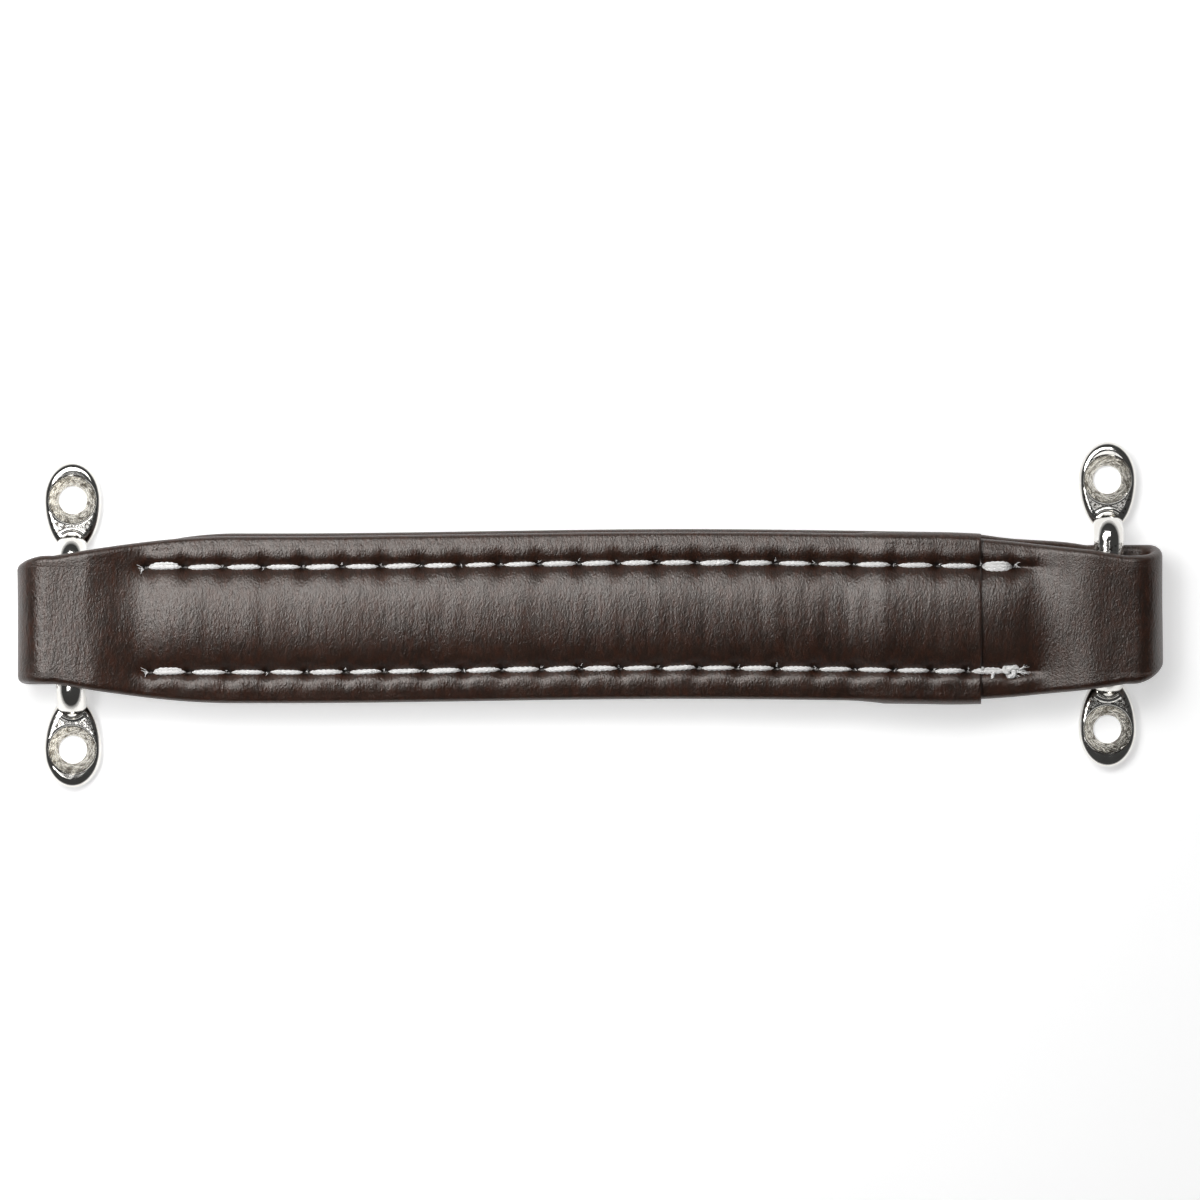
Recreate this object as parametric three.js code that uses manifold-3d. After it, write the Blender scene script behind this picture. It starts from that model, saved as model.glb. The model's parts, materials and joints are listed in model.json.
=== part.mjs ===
// Amplifier strap handle: a padded vinyl strap looped round the rods of two plated end brackets.
// Millimetres, +Z up, +X along the strap. The origin lies midway between the brackets, on the
// plane of their feet.
import * as THREE from 'three';
import { mergeVertices } from 'three/addons/utils/BufferGeometryUtils.js';
import Module from 'manifold-3d';

const wasm = await Module();
wasm.setup();

// Strap, overall
const STRAP_LENGTH = 239.8;
const BODY_WIDTH = 35;
const LOOP_WIDTH = 26.8;
const STRAP_Y = -1.05; // the strap lies a little to one side of the bracket feet
const LOOP_NECK = 7.9; // the upper run keeps its loop width this far in from the strap's end
const SHOULDER_LENGTH = 38; // over which the upper run widens to the body
const UNDER_NECK = 15.9; // the same two lengths on the lower run
const UNDER_SHOULDER_LENGTH = 30;
const UNDER_SHIFT_Y = 0.6; // the lower run lies this far sideways of the upper one
const BOW_Y = 0.9; // the soft strap bows this far sideways between its eyes
const BOW_X = 20; // where it bows most
const COVERED_END_NARROWING = 0.5; // the cover's tucked-in end is narrower by this on each side

// Layers of the strap
const COVER_THICKNESS = 1.3;
const LAYER_GAP = 0.15; // between one layer and the next
const RUN_GAP = 0.3; // between the hems of the upper and lower runs
const CROWN_RISE = 2.65; // how much the padding lifts the middle of each run
const RIM_WIDTH = 6.5; // from the strap's edge in to a stitch row
const RIM_LEAST = 1.8; // the least such rim, where the strap narrows
const RIM_PUFF = 0.4; // the rim swells between the row and the edge
const ROW_PINCH = 0.3; // each layer is pulled in this much along a row
const HEM_PAST_ROW = 1; // the hem's raw edge lies this far inside its row
const BAND_CLEARANCE = 0.3; // from the band's edge to the hem
const PAD_CLEARANCE = 0.6; // from the pad's edge to the hem
const PAD_GAP = 0.3; // from the pad to the bands above and below it
const PAD_EDGE_THICKNESS = 0.4; // where the pad is thinnest
const EYE_LENGTH = 4.65; // from the rod's axis in to where the two runs start to close up
const EYE_TAPER_LENGTH = 9.5; // over which they close up
const CROWN_PAST_SEWN = 1.5; // how far the crown reaches into that taper
const CROWN_FADE_LENGTH = 16;
const PAD_PAST_CROWN = 5; // from where the crown starts to fade out to the pad's end

// The cover's ends, lapped on the upper run: the left end sleeves over the right one
const LAP_INSET = 38.1; // from the strap's right end to the seam
const LAP_LENGTH = 20.3; // of the whole sleeve
const LAP_RISE_LENGTH = 7.5; // over which the cover widens into the sleeve
const LAP_STEP_CLEARANCE = 1; // from there to the end that lies inside
const SLEEVE_WALL = 0.9;
const SLEEVE_GAP = 0.15;

// Stitching
const THREAD_DIAMETER = 1.1;
const KNOT_WIDTH = 1.7; // the first and last stitches of a row are doubled
const FAR_ROW_INSET = 26.9; // from the strap's left end to the row's first hole
const FAR_ROW_PITCH = 8.235;
const NEAR_ROW_INSET = 27.8;
const NEAR_ROW_PITCH = 8.2;
const ROW_END_INSET = 31.7; // from the strap's right end to the last holes, give or take a stitch
const SLIT_LENGTH = 2.5;
const SLIT_SIDE_CLEARANCE = 0.25;
const THREAD_ENTRY = 0.1; // from the end of a slit to where the thread starts to dip
const THREAD_LIFT = 0.35; // clear of the cover between two holes
const THREAD_DEPTH = 1.2; // below the cover's face at a hole

// Brackets
const ROD_DIAMETER = 6.35;
const ROD_INSET = 11.25; // from the strap's end to the rod's axis
const ROD_BEND_RADIUS = 3.4; // along the middle of the rod, where it turns down into a leg
const EYE_CLEARANCE = 0.3; // from the rod to the loop
const LEG_CLEARANCE = 0.7; // from a leg to the edge of the loop between the legs
const FLOOR_CLEARANCE = 0.7; // from the loop down to the plane of the feet
const SCREW_SPACING = 52.4;
const LEG_TO_HOLE = 9.825;
const SCREW_HOLE_DIAMETER = 5.9;
const COUNTERSINK_DIAMETER = 10.65;
const COUNTERSINK_LAND = 0.5;
const FOOT_THICKNESS = 3.2;
const FOOT_WIDTH = 12.2;
const FOOT_REACH = 8; // from the hole to the foot's outer tip
const FOOT_BACK_REACH = 11; // from the hole in to the foot's end under the leg
const FOOT_EDGE = 0.5; // width of the rounded rim on top of a foot
const FOOT_EDGE_HEIGHT = 1;
const BRACKET_LEAN_Y = 2.15; // one bracket lies this far to either side of the handle's middle

// How finely round things are faceted
const ROD_SIDES = 14;
const ELBOW_STEPS = 5;
const FOOT_SIDES = 24;
const FOOT_EDGE_STEPS = 2;
const HOLE_SIDES = 20;
const BEND_STEPS = 6;
const THREAD_SIDES = 5;
const BODY_SHARES = [0.02, 0.38, 0.7]; // extra sections along the level middle of the strap
const CROWN_FADE_SHARES = [0.4, 0.83]; // and between the full crown and the sewn end
const EYE_TAPER_SHARES = [0.35, 0.7]; // and between the sewn end and the open eye

// Sizes that follow from the ones above
const END_X = STRAP_LENGTH / 2;
const ROD_RADIUS = ROD_DIAMETER / 2;
const ROD_X = END_X - ROD_INSET;
const FOLD_RADIUS = COVER_THICKNESS + LAYER_GAP / 2;
const EYE_RADIUS = ROD_RADIUS + EYE_CLEARANCE;
const LOOP_FOLD_HEIGHT = EYE_RADIUS + FOLD_RADIUS;
const LOOP_RADIUS = LOOP_FOLD_HEIGHT + FOLD_RADIUS;
const SEWN_FOLD_HEIGHT = RUN_GAP / 2 + FOLD_RADIUS;
const MID_Z = FLOOR_CLEARANCE + LOOP_RADIUS;
const BEND_X = END_X - LOOP_RADIUS;
const EYE_OPEN_X = ROD_X - EYE_LENGTH;
const SEWN_END_X = EYE_OPEN_X - EYE_TAPER_LENGTH;
const CROWN_NONE_X = SEWN_END_X + CROWN_PAST_SEWN;
const CROWN_FULL_X = CROWN_NONE_X - CROWN_FADE_LENGTH;
const PAD_END_X = CROWN_FULL_X + PAD_PAST_CROWN;
const LEG_Y = SCREW_SPACING / 2 - LEG_TO_HOLE;
const UNDER_LOOP_HALF_WIDTH = LEG_Y - ROD_RADIUS - LEG_CLEARANCE;
const ROW_Y = BODY_WIDTH / 2 - RIM_WIDTH;
const ROW_FACE = SEWN_FOLD_HEIGHT + FOLD_RADIUS - 2 * ROW_PINCH;
const SLEEVE_LIFT = SLEEVE_GAP + SLEEVE_WALL;
const LAP_END_X = END_X - LAP_INSET;
const LAP_START_X = LAP_END_X - LAP_LENGTH;
const LAP_RISE_X = LAP_START_X - LAP_RISE_LENGTH;
const UNDER_LAP_END_X = LAP_START_X + LAP_STEP_CLEARANCE;
const LEFT_BRACKET_SHIFT = -BRACKET_LEAN_Y - STRAP_Y; // from the strap's middle line
const RIGHT_BRACKET_SHIFT = BRACKET_LEAN_Y - STRAP_Y;

const clamp01 = (share) => Math.min(1, Math.max(0, share));
const mix = (from, to, share) => from + (to - from) * share;
const smooth = (share) => clamp01(share) ** 2 * (3 - 2 * clamp01(share));
const radians = THREE.MathUtils.degToRad;

// Solids

// Twice the signed area of a flat outline or triangle.
function signedArea(points) {
  return points.reduce((sum, [u, v], i) => {
    const [nextU, nextV] = points[(i + 1) % points.length];
    return sum + u * nextV - nextU * v;
  }, 0);
}

// Triangles that fill an outline, wound as the outline is.
function capFaces(outline) {
  const contour = outline.map(([u, v]) => new THREE.Vector2(u, v));
  const sense = Math.sign(signedArea(outline));
  return THREE.ShapeUtils.triangulateShape(contour, []).map((face) => {
    const same = Math.sign(signedArea(face.map((i) => outline[i]))) === sense;
    return same ? face : [face[0], face[2], face[1]];
  });
}

// One closed body skinned over a row of outlines with equally many points. Each section gives
// its flat outline and a function that puts a flat point in its place. Each patch is split along
// its shorter diagonal, so that layers which lie side by side are faceted alike.
function loft(sections) {
  const count = sections[0].outline.length;
  const points = sections.flatMap(({ outline, place }) => outline.map(([u, v]) => place(u, v)));
  const faces = [];
  for (let ring = 0; ring + 1 < sections.length; ring++) {
    for (let i = 0; i < count; i++) {
      const a = ring * count + i;
      const b = ring * count + ((i + 1) % count);
      const forward = points[a].distanceTo(points[b + count]);
      const backward = points[b].distanceTo(points[a + count]);
      if (forward < backward) faces.push([a, b, b + count], [a, b + count, a + count]);
      else faces.push([a, b, a + count], [b, b + count, a + count]);
    }
  }
  const last = (sections.length - 1) * count;
  capFaces(sections[0].outline).forEach(([a, b, c]) => faces.push([a, c, b]));
  capFaces(sections.at(-1).outline).forEach((face) => faces.push(face.map((i) => i + last)));
  const volume = faces.reduce((sum, face) => {
    const [a, b, c] = face.map((i) => points[i]);
    return sum + a.dot(b.clone().cross(c));
  }, 0);
  const outward = volume > 0 ? faces : faces.map(([a, b, c]) => [a, c, b]);
  const geometry = new THREE.BufferGeometry().setFromPoints(points);
  geometry.setIndex(outward.flat());
  return geometry;
}

function solidOf(geometry) {
  const bare = geometry.clone();
  bare.deleteAttribute('normal');
  bare.deleteAttribute('uv');
  const merged = mergeVertices(bare);
  return new wasm.Manifold(
    new wasm.Mesh({
      numProp: 3,
      vertProperties: merged.attributes.position.array,
      triVerts: new Uint32Array(merged.index.array),
    }),
  );
}

function geometryOf(solid) {
  const mesh = solid.getMesh();
  const geometry = new THREE.BufferGeometry();
  geometry.setAttribute('position', new THREE.BufferAttribute(mesh.vertProperties, 3));
  geometry.setIndex(new THREE.BufferAttribute(mesh.triVerts, 1));
  return geometry;
}

// Places along the strap. Each has a spot on the strap's mid-plane, the direction in which its
// layers lie, and the width, sideways shift, closeness and crown of the section there.

const sewnShare = (x) => smooth((EYE_OPEN_X - Math.abs(x)) / (EYE_OPEN_X - SEWN_END_X));
const crownShare = (x) => smooth((CROWN_NONE_X - Math.abs(x)) / (CROWN_NONE_X - CROWN_FULL_X));

function halfWidth(x, loop, neck, shoulder) {
  const share = clamp01((END_X - Math.abs(x) - neck) / shoulder);
  return mix(loop, BODY_WIDTH / 2, Math.sin((Math.PI / 2) * share));
}

const bowAt = (x) => BOW_Y * (1 - smooth(Math.abs(x - BOW_X) / (EYE_OPEN_X - BOW_X)));

const sleeveShare = (x) => clamp01((x - LAP_RISE_X) / LAP_RISE_LENGTH);

function upperPlace(x) {
  const narrowing = sleeveShare(x) * smooth((ROD_X - x) / (ROD_X - SEWN_END_X));
  const width = halfWidth(x, LOOP_WIDTH / 2, LOOP_NECK, SHOULDER_LENGTH);
  return {
    x,
    turn: 90,
    halfWidth: width - COVERED_END_NARROWING * narrowing,
    shift: 0,
    sewn: sewnShare(x),
    crown: crownShare(x),
  };
}

// The lower run is held between the legs, so it follows each bracket sideways.
function lowerPlace(x) {
  const share = smooth((Math.abs(x) - CROWN_FULL_X) / (EYE_OPEN_X - CROWN_FULL_X));
  const bracketShift = x < 0 ? LEFT_BRACKET_SHIFT : RIGHT_BRACKET_SHIFT;
  return {
    x,
    turn: -90,
    halfWidth: halfWidth(x, UNDER_LOOP_HALF_WIDTH, UNDER_NECK, UNDER_SHOULDER_LENGTH),
    shift: mix(UNDER_SHIFT_Y, bracketShift, share),
    sewn: sewnShare(x),
    crown: crownShare(x),
  };
}

// One step of the bend at an end of the strap, from 0 at the top to 1 at the bottom.
function bendPlace(side, share) {
  const bracketShift = side < 0 ? LEFT_BRACKET_SHIFT : RIGHT_BRACKET_SHIFT;
  const angle = mix(90, -90, share);
  return {
    x: side * BEND_X,
    turn: side > 0 ? angle : 180 - angle,
    halfWidth: mix(LOOP_WIDTH / 2, UNDER_LOOP_HALF_WIDTH, smooth(2 * share)),
    shift: bracketShift * smooth((4 / 3) * share),
    sewn: 0,
    crown: 0,
  };
}

function section(outline, place) {
  const turn = radians(place.turn);
  return {
    outline,
    place: (y, n) =>
      new THREE.Vector3(
        place.x + n * Math.cos(turn),
        STRAP_Y + bowAt(place.x) + place.shift + y,
        MID_Z + n * Math.sin(turn),
      ),
  };
}

// Sections of the strap

const CROWN_SHARES = [0.8, 0.45];

// Lines of the section on one side of its middle: y of each, and the height n of the fold that
// the cover's wall and its hem meet at.
function linesOf(place, side) {
  const base = mix(LOOP_FOLD_HEIGHT, SEWN_FOLD_HEIGHT, place.sewn);
  const row = Math.min(ROW_Y - side * place.shift, place.halfWidth - RIM_LEAST);
  const edge = place.halfWidth - FOLD_RADIUS;
  return {
    base,
    edge,
    rim: mix(row, edge, 0.5),
    row,
    rowFold: base - ROW_PINCH * place.sewn,
    rowWall: FOLD_RADIUS - ROW_PINCH * place.sewn,
    rimWall: FOLD_RADIUS + RIM_PUFF * place.sewn,
    tip: row - HEM_PAST_ROW,
    crown: CROWN_SHARES.map((share) => ({
      y: share * row,
      fold: base + CROWN_RISE * place.crown * (1 - share * share),
    })),
    middleFold: base + CROWN_RISE * place.crown,
  };
}

function arc(lines, radius, angles) {
  return angles.map((angle) => [
    lines.edge + radius * Math.cos(radians(angle)),
    lines.base + radius * Math.sin(radians(angle)),
  ]);
}

// The outer face of one half, from the folded edge in to the crown, lifted by the given amount.
function outerHalf(lines, angles, lift) {
  return [
    ...arc(lines, FOLD_RADIUS + lift, angles),
    [lines.rim, lines.base + lines.rimWall + lift],
    [lines.row, lines.rowFold + lines.rowWall + lift],
    ...lines.crown.map(({ y, fold }) => [y, fold + FOLD_RADIUS + lift]),
  ];
}

// Two halves, each listed from the edge inwards, joined round their middle points.
function wholeOutline(outer, inner, outerMiddle, innerMiddle) {
  const mirrored = (points) => points.map(([y, n]) => [-y, n]);
  return [
    ...outer[1],
    [0, outerMiddle],
    ...mirrored(outer[-1]).reverse(),
    ...mirrored(inner[-1]),
    [0, innerMiddle],
    ...inner[1].toReversed(),
  ];
}

const bothSides = (make) => ({ 1: make(1), [-1]: make(-1) });

// The cover where its edges are turned under: a wall, a fold at each edge and a hem under it.
function hemmedOutline(place) {
  const outer = bothSides((side) => outerHalf(linesOf(place, side), [-90, -30, 30, 90], 0));
  const inner = bothSides((side) => {
    const lines = linesOf(place, side);
    const under = lines.base - FOLD_RADIUS;
    const hemTop = lines.rowFold - LAYER_GAP / 2;
    return [
      [mix(lines.edge, lines.rim, 0.5), under],
      [lines.rim, under],
      [lines.row, under],
      [lines.tip, under],
      [lines.tip, hemTop],
      [lines.row, hemTop],
      [lines.edge, lines.base],
      [lines.row, lines.rowFold + LAYER_GAP / 2],
      ...lines.crown.map(({ y, fold }) => [y, fold + LAYER_GAP / 2]),
    ];
  });
  const { middleFold } = linesOf(place, 1);
  return wholeOutline(outer, inner, middleFold + FOLD_RADIUS, middleFold + LAYER_GAP / 2);
}

// The cover where it sleeves over its own other end: a thinner wall wrapped round that end.
function sleeveOutline(place) {
  const outer = bothSides((side) =>
    outerHalf(linesOf(place, side), [-30, 10, 50, 90], SLEEVE_LIFT),
  );
  const inner = bothSides((side) => {
    const lines = linesOf(place, side);
    return [
      ...arc(lines, FOLD_RADIUS + SLEEVE_GAP, [-30, -5, 20, 45, 67.5, 90]),
      [lines.rim, lines.base + lines.rimWall + SLEEVE_GAP],
      [lines.row, lines.rowFold + lines.rowWall + SLEEVE_GAP],
      ...lines.crown.map(({ y, fold }) => [y, fold + FOLD_RADIUS + SLEEVE_GAP]),
    ];
  });
  const face = linesOf(place, 1).middleFold + FOLD_RADIUS;
  return wholeOutline(outer, inner, face + SLEEVE_LIFT, face + SLEEVE_GAP);
}

function risingOutline(place) {
  const share = sleeveShare(place.x);
  const hemmed = hemmedOutline(place);
  const sleeve = sleeveOutline(place);
  return hemmed.map(([y, n], i) => [mix(y, sleeve[i][0], share), mix(n, sleeve[i][1], share)]);
}

// Height of the wall's inner face, y being measured from the middle of the run.
function wallInnerAt(place, y) {
  const lines = linesOf(place, Math.sign(y) || 1);
  const points = [
    [lines.edge, lines.base],
    [lines.row, lines.rowFold],
    ...lines.crown.map((line) => [line.y, line.fold]),
    [0, lines.middleFold],
  ];
  const out = Math.abs(y);
  const i = points.findIndex(([inner]) => inner <= out);
  const [[farY, farN], [nearY, nearN]] = [points[i - 1], points[i]];
  return mix(nearN, farN, (out - nearY) / (farY - nearY)) + LAYER_GAP / 2;
}

// The band lies on the wall's inner face, between the hems.
function bandOutline(place) {
  const tops = bothSides((side) => {
    const lines = linesOf(place, side);
    const ys = [lines.tip - BAND_CLEARANCE, ...lines.crown.map((line) => line.y)];
    return ys.map((y) => [y, wallInnerAt(place, side * y) - LAYER_GAP]);
  });
  const lowered = (points) => points.map(([y, n]) => [y, n - COVER_THICKNESS]);
  const unders = { 1: lowered(tops[1]), [-1]: lowered(tops[-1]) };
  const middle = linesOf(place, 1).middleFold - LAYER_GAP / 2;
  return wholeOutline(tops, unders, middle, middle - COVER_THICKNESS);
}

// Half the pad's thickness above or below the mid-plane, y being measured from the upper run.
function padHeight(place, y) {
  const bandUnder = wallInnerAt(place, y - place.shift) - LAYER_GAP - COVER_THICKNESS;
  return Math.max(PAD_EDGE_THICKNESS / 2, bandUnder - PAD_GAP);
}

function padOutline(x) {
  const edge = ROW_Y - HEM_PAST_ROW - PAD_CLEARANCE;
  const ys = [edge, ...CROWN_SHARES.map((share) => share * ROW_Y)];
  const across = [...ys, 0, ...ys.map((y) => -y).reverse()];
  return [
    ...across.map((y) => [y, padHeight(upperPlace(x), y)]),
    ...across.toReversed().map((y) => [y, -padHeight(lowerPlace(x), y)]),
  ];
}

// Distances from the middle of the strap at which its section changes, going outwards.
const SHOULDER_XS = [
  ...BODY_SHARES.map((share) => share * (END_X - LOOP_NECK - SHOULDER_LENGTH)),
  END_X - LOOP_NECK - SHOULDER_LENGTH,
  CROWN_FULL_X,
  ...CROWN_FADE_SHARES.map((share) => mix(CROWN_FULL_X, SEWN_END_X, share)),
  SEWN_END_X,
  ...EYE_TAPER_SHARES.map((share) => mix(SEWN_END_X, EYE_OPEN_X, share)),
  EYE_OPEN_X,
  ROD_X,
  BEND_X,
].sort((a, b) => a - b);

function bendPlaces(side) {
  const inside = Array.from({ length: BEND_STEPS - 1 }, (_, i) => (i + 1) / BEND_STEPS);
  return inside.map((share) => bendPlace(side, share));
}

// The cover's way from its outer lapped end leftwards, round both bends and back under the lap.
function wayRound(startXs, endX) {
  const outwards = SHOULDER_XS;
  const inwards = SHOULDER_XS.toReversed();
  return [
    ...startXs.map(upperPlace),
    ...inwards.filter((x) => x < startXs.at(-1)).map(upperPlace),
    ...outwards.map((x) => upperPlace(-x)),
    ...bendPlaces(-1),
    ...inwards.map((x) => lowerPlace(-x)),
    ...outwards.map(lowerPlace),
    ...bendPlaces(1).reverse(),
    ...[...inwards.filter((x) => x > endX), endX].map(upperPlace),
  ];
}

// Stitching

// A row of needle holes, evenly spaced, with as many stitches as the strap has room for.
function stitchRow(side, inset, pitch) {
  const count = Math.round((STRAP_LENGTH - inset - ROW_END_INSET) / pitch);
  const holeXs = Array.from({ length: count + 1 }, (_, i) => inset - END_X + i * pitch);
  return { y: STRAP_Y + side * ROW_Y, count, holeXs };
}

const ROWS = {
  far: stitchRow(1, FAR_ROW_INSET, FAR_ROW_PITCH),
  near: stitchRow(-1, NEAR_ROW_INSET, NEAR_ROW_PITCH),
};

function needleSlits() {
  const through = 2 * LOOP_FOLD_HEIGHT + 2 * LOOP_RADIUS;
  const size = [SLIT_LENGTH, THREAD_DIAMETER + 2 * SLIT_SIDE_CLEARANCE, through];
  return Object.values(ROWS).flatMap((row) =>
    row.holeXs.map((x) => {
      const slit = new THREE.BoxGeometry(...size);
      slit.translate(x, row.y + bowAt(x), MID_Z);
      return solidOf(slit);
    }),
  );
}

// A row's thread runs over the cover between holes and dips into each of them. It lies on the
// upper face with sense 1 and on the lower face with sense -1.
function threadGeometry(row, sense) {
  const radius = THREAD_DIAMETER / 2;
  const crest = ROW_FACE + radius + THREAD_LIFT;
  const dip = ROW_FACE - THREAD_DEPTH;
  const reach = SLIT_LENGTH / 2 - THREAD_ENTRY;
  const liftAt = (x) => (sense > 0 && x < LAP_END_X ? SLEEVE_LIFT * sleeveShare(x) : 0);
  const crestAt = (x, doubled) => ({ x, n: crest + liftAt(x), doubled });
  const stops = row.holeXs.flatMap((x, i) => [
    ...(i > 0 ? [crestAt(x - reach, i === 1 || i === row.count)] : []),
    { x, n: dip, doubled: false },
    ...(i < row.count ? [crestAt(x + reach, i === 0 || i === row.count - 1)] : []),
  ]);
  const sections = stops.map(({ x, n, doubled }) => {
    const halfAcross = doubled ? KNOT_WIDTH / 2 : radius;
    const outline = Array.from({ length: THREAD_SIDES }, (_, i) => {
      const angle = (2 * Math.PI * i) / THREAD_SIDES;
      return [halfAcross * Math.cos(angle), radius * Math.sin(angle)];
    });
    return {
      outline,
      place: (u, v) => new THREE.Vector3(x, row.y + bowAt(x) + u, MID_Z + sense * (n + v)),
    };
  });
  return loft(sections);
}

// Brackets, each with its rod's middle over the origin and its feet on z = 0

function rodGeometry() {
  const bendY = LEG_Y - ROD_BEND_RADIUS;
  const bendZ = MID_Z - ROD_BEND_RADIUS;
  const elbow = Array.from({ length: ELBOW_STEPS + 1 }, (_, i) => {
    const angle = (90 * i) / ELBOW_STEPS;
    return {
      y: bendY + ROD_BEND_RADIUS * Math.sin(radians(angle)),
      z: bendZ + ROD_BEND_RADIUS * Math.cos(radians(angle)),
      angle,
    };
  });
  const half = [...elbow, { y: LEG_Y, z: 0, angle: 90 }];
  const otherHalf = half.map(({ y, z, angle }) => ({ y: -y, z, angle: -angle })).reverse();
  const circle = Array.from({ length: ROD_SIDES }, (_, i) => {
    const angle = (2 * Math.PI * (i + 0.5)) / ROD_SIDES;
    return [ROD_RADIUS * Math.cos(angle), ROD_RADIUS * Math.sin(angle)];
  });
  const sections = [...otherHalf, ...half].map(({ y, z, angle }) => ({
    outline: circle,
    place: (u, v) =>
      new THREE.Vector3(u, y + v * Math.sin(radians(angle)), z + v * Math.cos(radians(angle))),
  }));
  return loft(sections);
}

// An egg-shaped foot, blunt outside its screw hole and drawn out towards the leg.
function footGeometry(side) {
  const rim = Array.from({ length: FOOT_EDGE_STEPS + 1 }, (_, i) => {
    const angle = radians((90 * i) / FOOT_EDGE_STEPS);
    return {
      z: FOOT_THICKNESS - FOOT_EDGE_HEIGHT * (1 - Math.sin(angle)),
      inset: FOOT_EDGE * (1 - Math.cos(angle)),
    };
  });
  const sections = [{ z: 0, inset: 0 }, ...rim].map(({ z, inset }) => ({
    outline: Array.from({ length: FOOT_SIDES }, (_, i) => {
      const angle = (2 * Math.PI * i) / FOOT_SIDES;
      const reach = Math.sin(angle) > 0 ? FOOT_REACH : FOOT_BACK_REACH;
      return [(FOOT_WIDTH / 2 - inset) * Math.cos(angle), (reach - inset) * Math.sin(angle)];
    }),
    place: (u, v) => new THREE.Vector3(u, side * (SCREW_SPACING / 2 + v), z),
  }));
  return loft(sections);
}

// The screw hole and its countersink, as the body of the cutter.
function cutterGeometry(side) {
  const over = 1; // how far the cutter runs past both faces
  const hole = SCREW_HOLE_DIAMETER / 2;
  const flare = (COUNTERSINK_DIAMETER / 2 - hole) / (FOOT_THICKNESS - COUNTERSINK_LAND);
  const profile = [
    [0, -over],
    [hole, -over],
    [hole, COUNTERSINK_LAND],
    [COUNTERSINK_DIAMETER / 2 + flare * over, FOOT_THICKNESS + over],
    [0, FOOT_THICKNESS + over],
  ].map(([radius, height]) => new THREE.Vector2(radius, height));
  const cutter = new THREE.LatheGeometry(profile, HOLE_SIDES);
  cutter.rotateX(Math.PI / 2);
  cutter.translate(0, (side * SCREW_SPACING) / 2, 0);
  return cutter;
}

function bracketGeometry() {
  const body = [-1, 1].reduce(
    (solid, side) => solid.add(solidOf(footGeometry(side))),
    solidOf(rodGeometry()),
  );
  const drilled = [-1, 1].reduce(
    (solid, side) => solid.subtract(solidOf(cutterGeometry(side))),
    body,
  );
  return geometryOf(drilled);
}

// Finishes

const vinyl = new THREE.MeshStandardMaterial({ color: 0x3a2c26, roughness: 0.45, metalness: 0 });
const webbing = new THREE.MeshStandardMaterial({ color: 0x4a4038, roughness: 0.9, metalness: 0 });
const foam = new THREE.MeshStandardMaterial({ color: 0xb9b2a4, roughness: 1, metalness: 0 });
const cotton = new THREE.MeshStandardMaterial({ color: 0xe9e6df, roughness: 0.9, metalness: 0 });
const nickel = new THREE.MeshStandardMaterial({ color: 0xcfcac2, roughness: 0.12, metalness: 1 });

// Pieces

function named(name, geometry, material) {
  const mesh = new THREE.Mesh(geometry, material);
  mesh.name = name;
  mesh.geometry.computeVertexNormals();
  return mesh;
}

function coverPiece() {
  const startXs = [LAP_END_X, LAP_START_X, mix(LAP_START_X, LAP_RISE_X, 0.5), LAP_RISE_X];
  const places = wayRound(startXs, UNDER_LAP_END_X);
  const sections = places.map((place, i) =>
    section(i < startXs.length ? risingOutline(place) : hemmedOutline(place), place),
  );
  const pierced = needleSlits().reduce((solid, slit) => solid.subtract(slit), solidOf(loft(sections)));
  return named('strap_cover', geometryOf(pierced), vinyl);
}

function bandPiece() {
  const places = wayRound([LAP_RISE_X], UNDER_LAP_END_X);
  const sections = places.map((place) => section(bandOutline(place), place));
  return named('strap_band', loft(sections), webbing);
}

function padPiece() {
  const outwards = [...SHOULDER_XS.filter((x) => x < PAD_END_X), PAD_END_X];
  const xs = [...outwards.map((x) => -x).reverse(), ...outwards];
  const sections = xs.map((x) => ({
    outline: padOutline(x),
    place: (y, n) => new THREE.Vector3(x, STRAP_Y + bowAt(x) + y, MID_Z + n),
  }));
  return named('core_pad', loft(sections), foam);
}

function strapGroup() {
  const group = new THREE.Group();
  group.add(coverPiece(), bandPiece(), padPiece());
  for (const [rowName, row] of Object.entries(ROWS)) {
    group.add(named(`top_thread_${rowName}`, threadGeometry(row, 1), cotton));
    group.add(named(`under_thread_${rowName}`, threadGeometry(row, -1), cotton));
  }
  return group;
}

function bracketGroup(name, side) {
  const group = new THREE.Group();
  group.position.set(side * ROD_X, side * BRACKET_LEAN_Y, 0);
  group.add(named(name, bracketGeometry(), nickel));
  return group;
}

const handle = new THREE.Group();
handle.add(strapGroup(), bracketGroup('bracket_left', -1), bracketGroup('bracket_right', 1));

export default handle;
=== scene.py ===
"""The looks of a padded strap handle: its stitched vinyl strap, its threads and its two plated
brackets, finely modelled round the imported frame, with the studio and the camera."""
import json
import math

import bpy
import numpy as np
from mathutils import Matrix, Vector, noise


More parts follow.
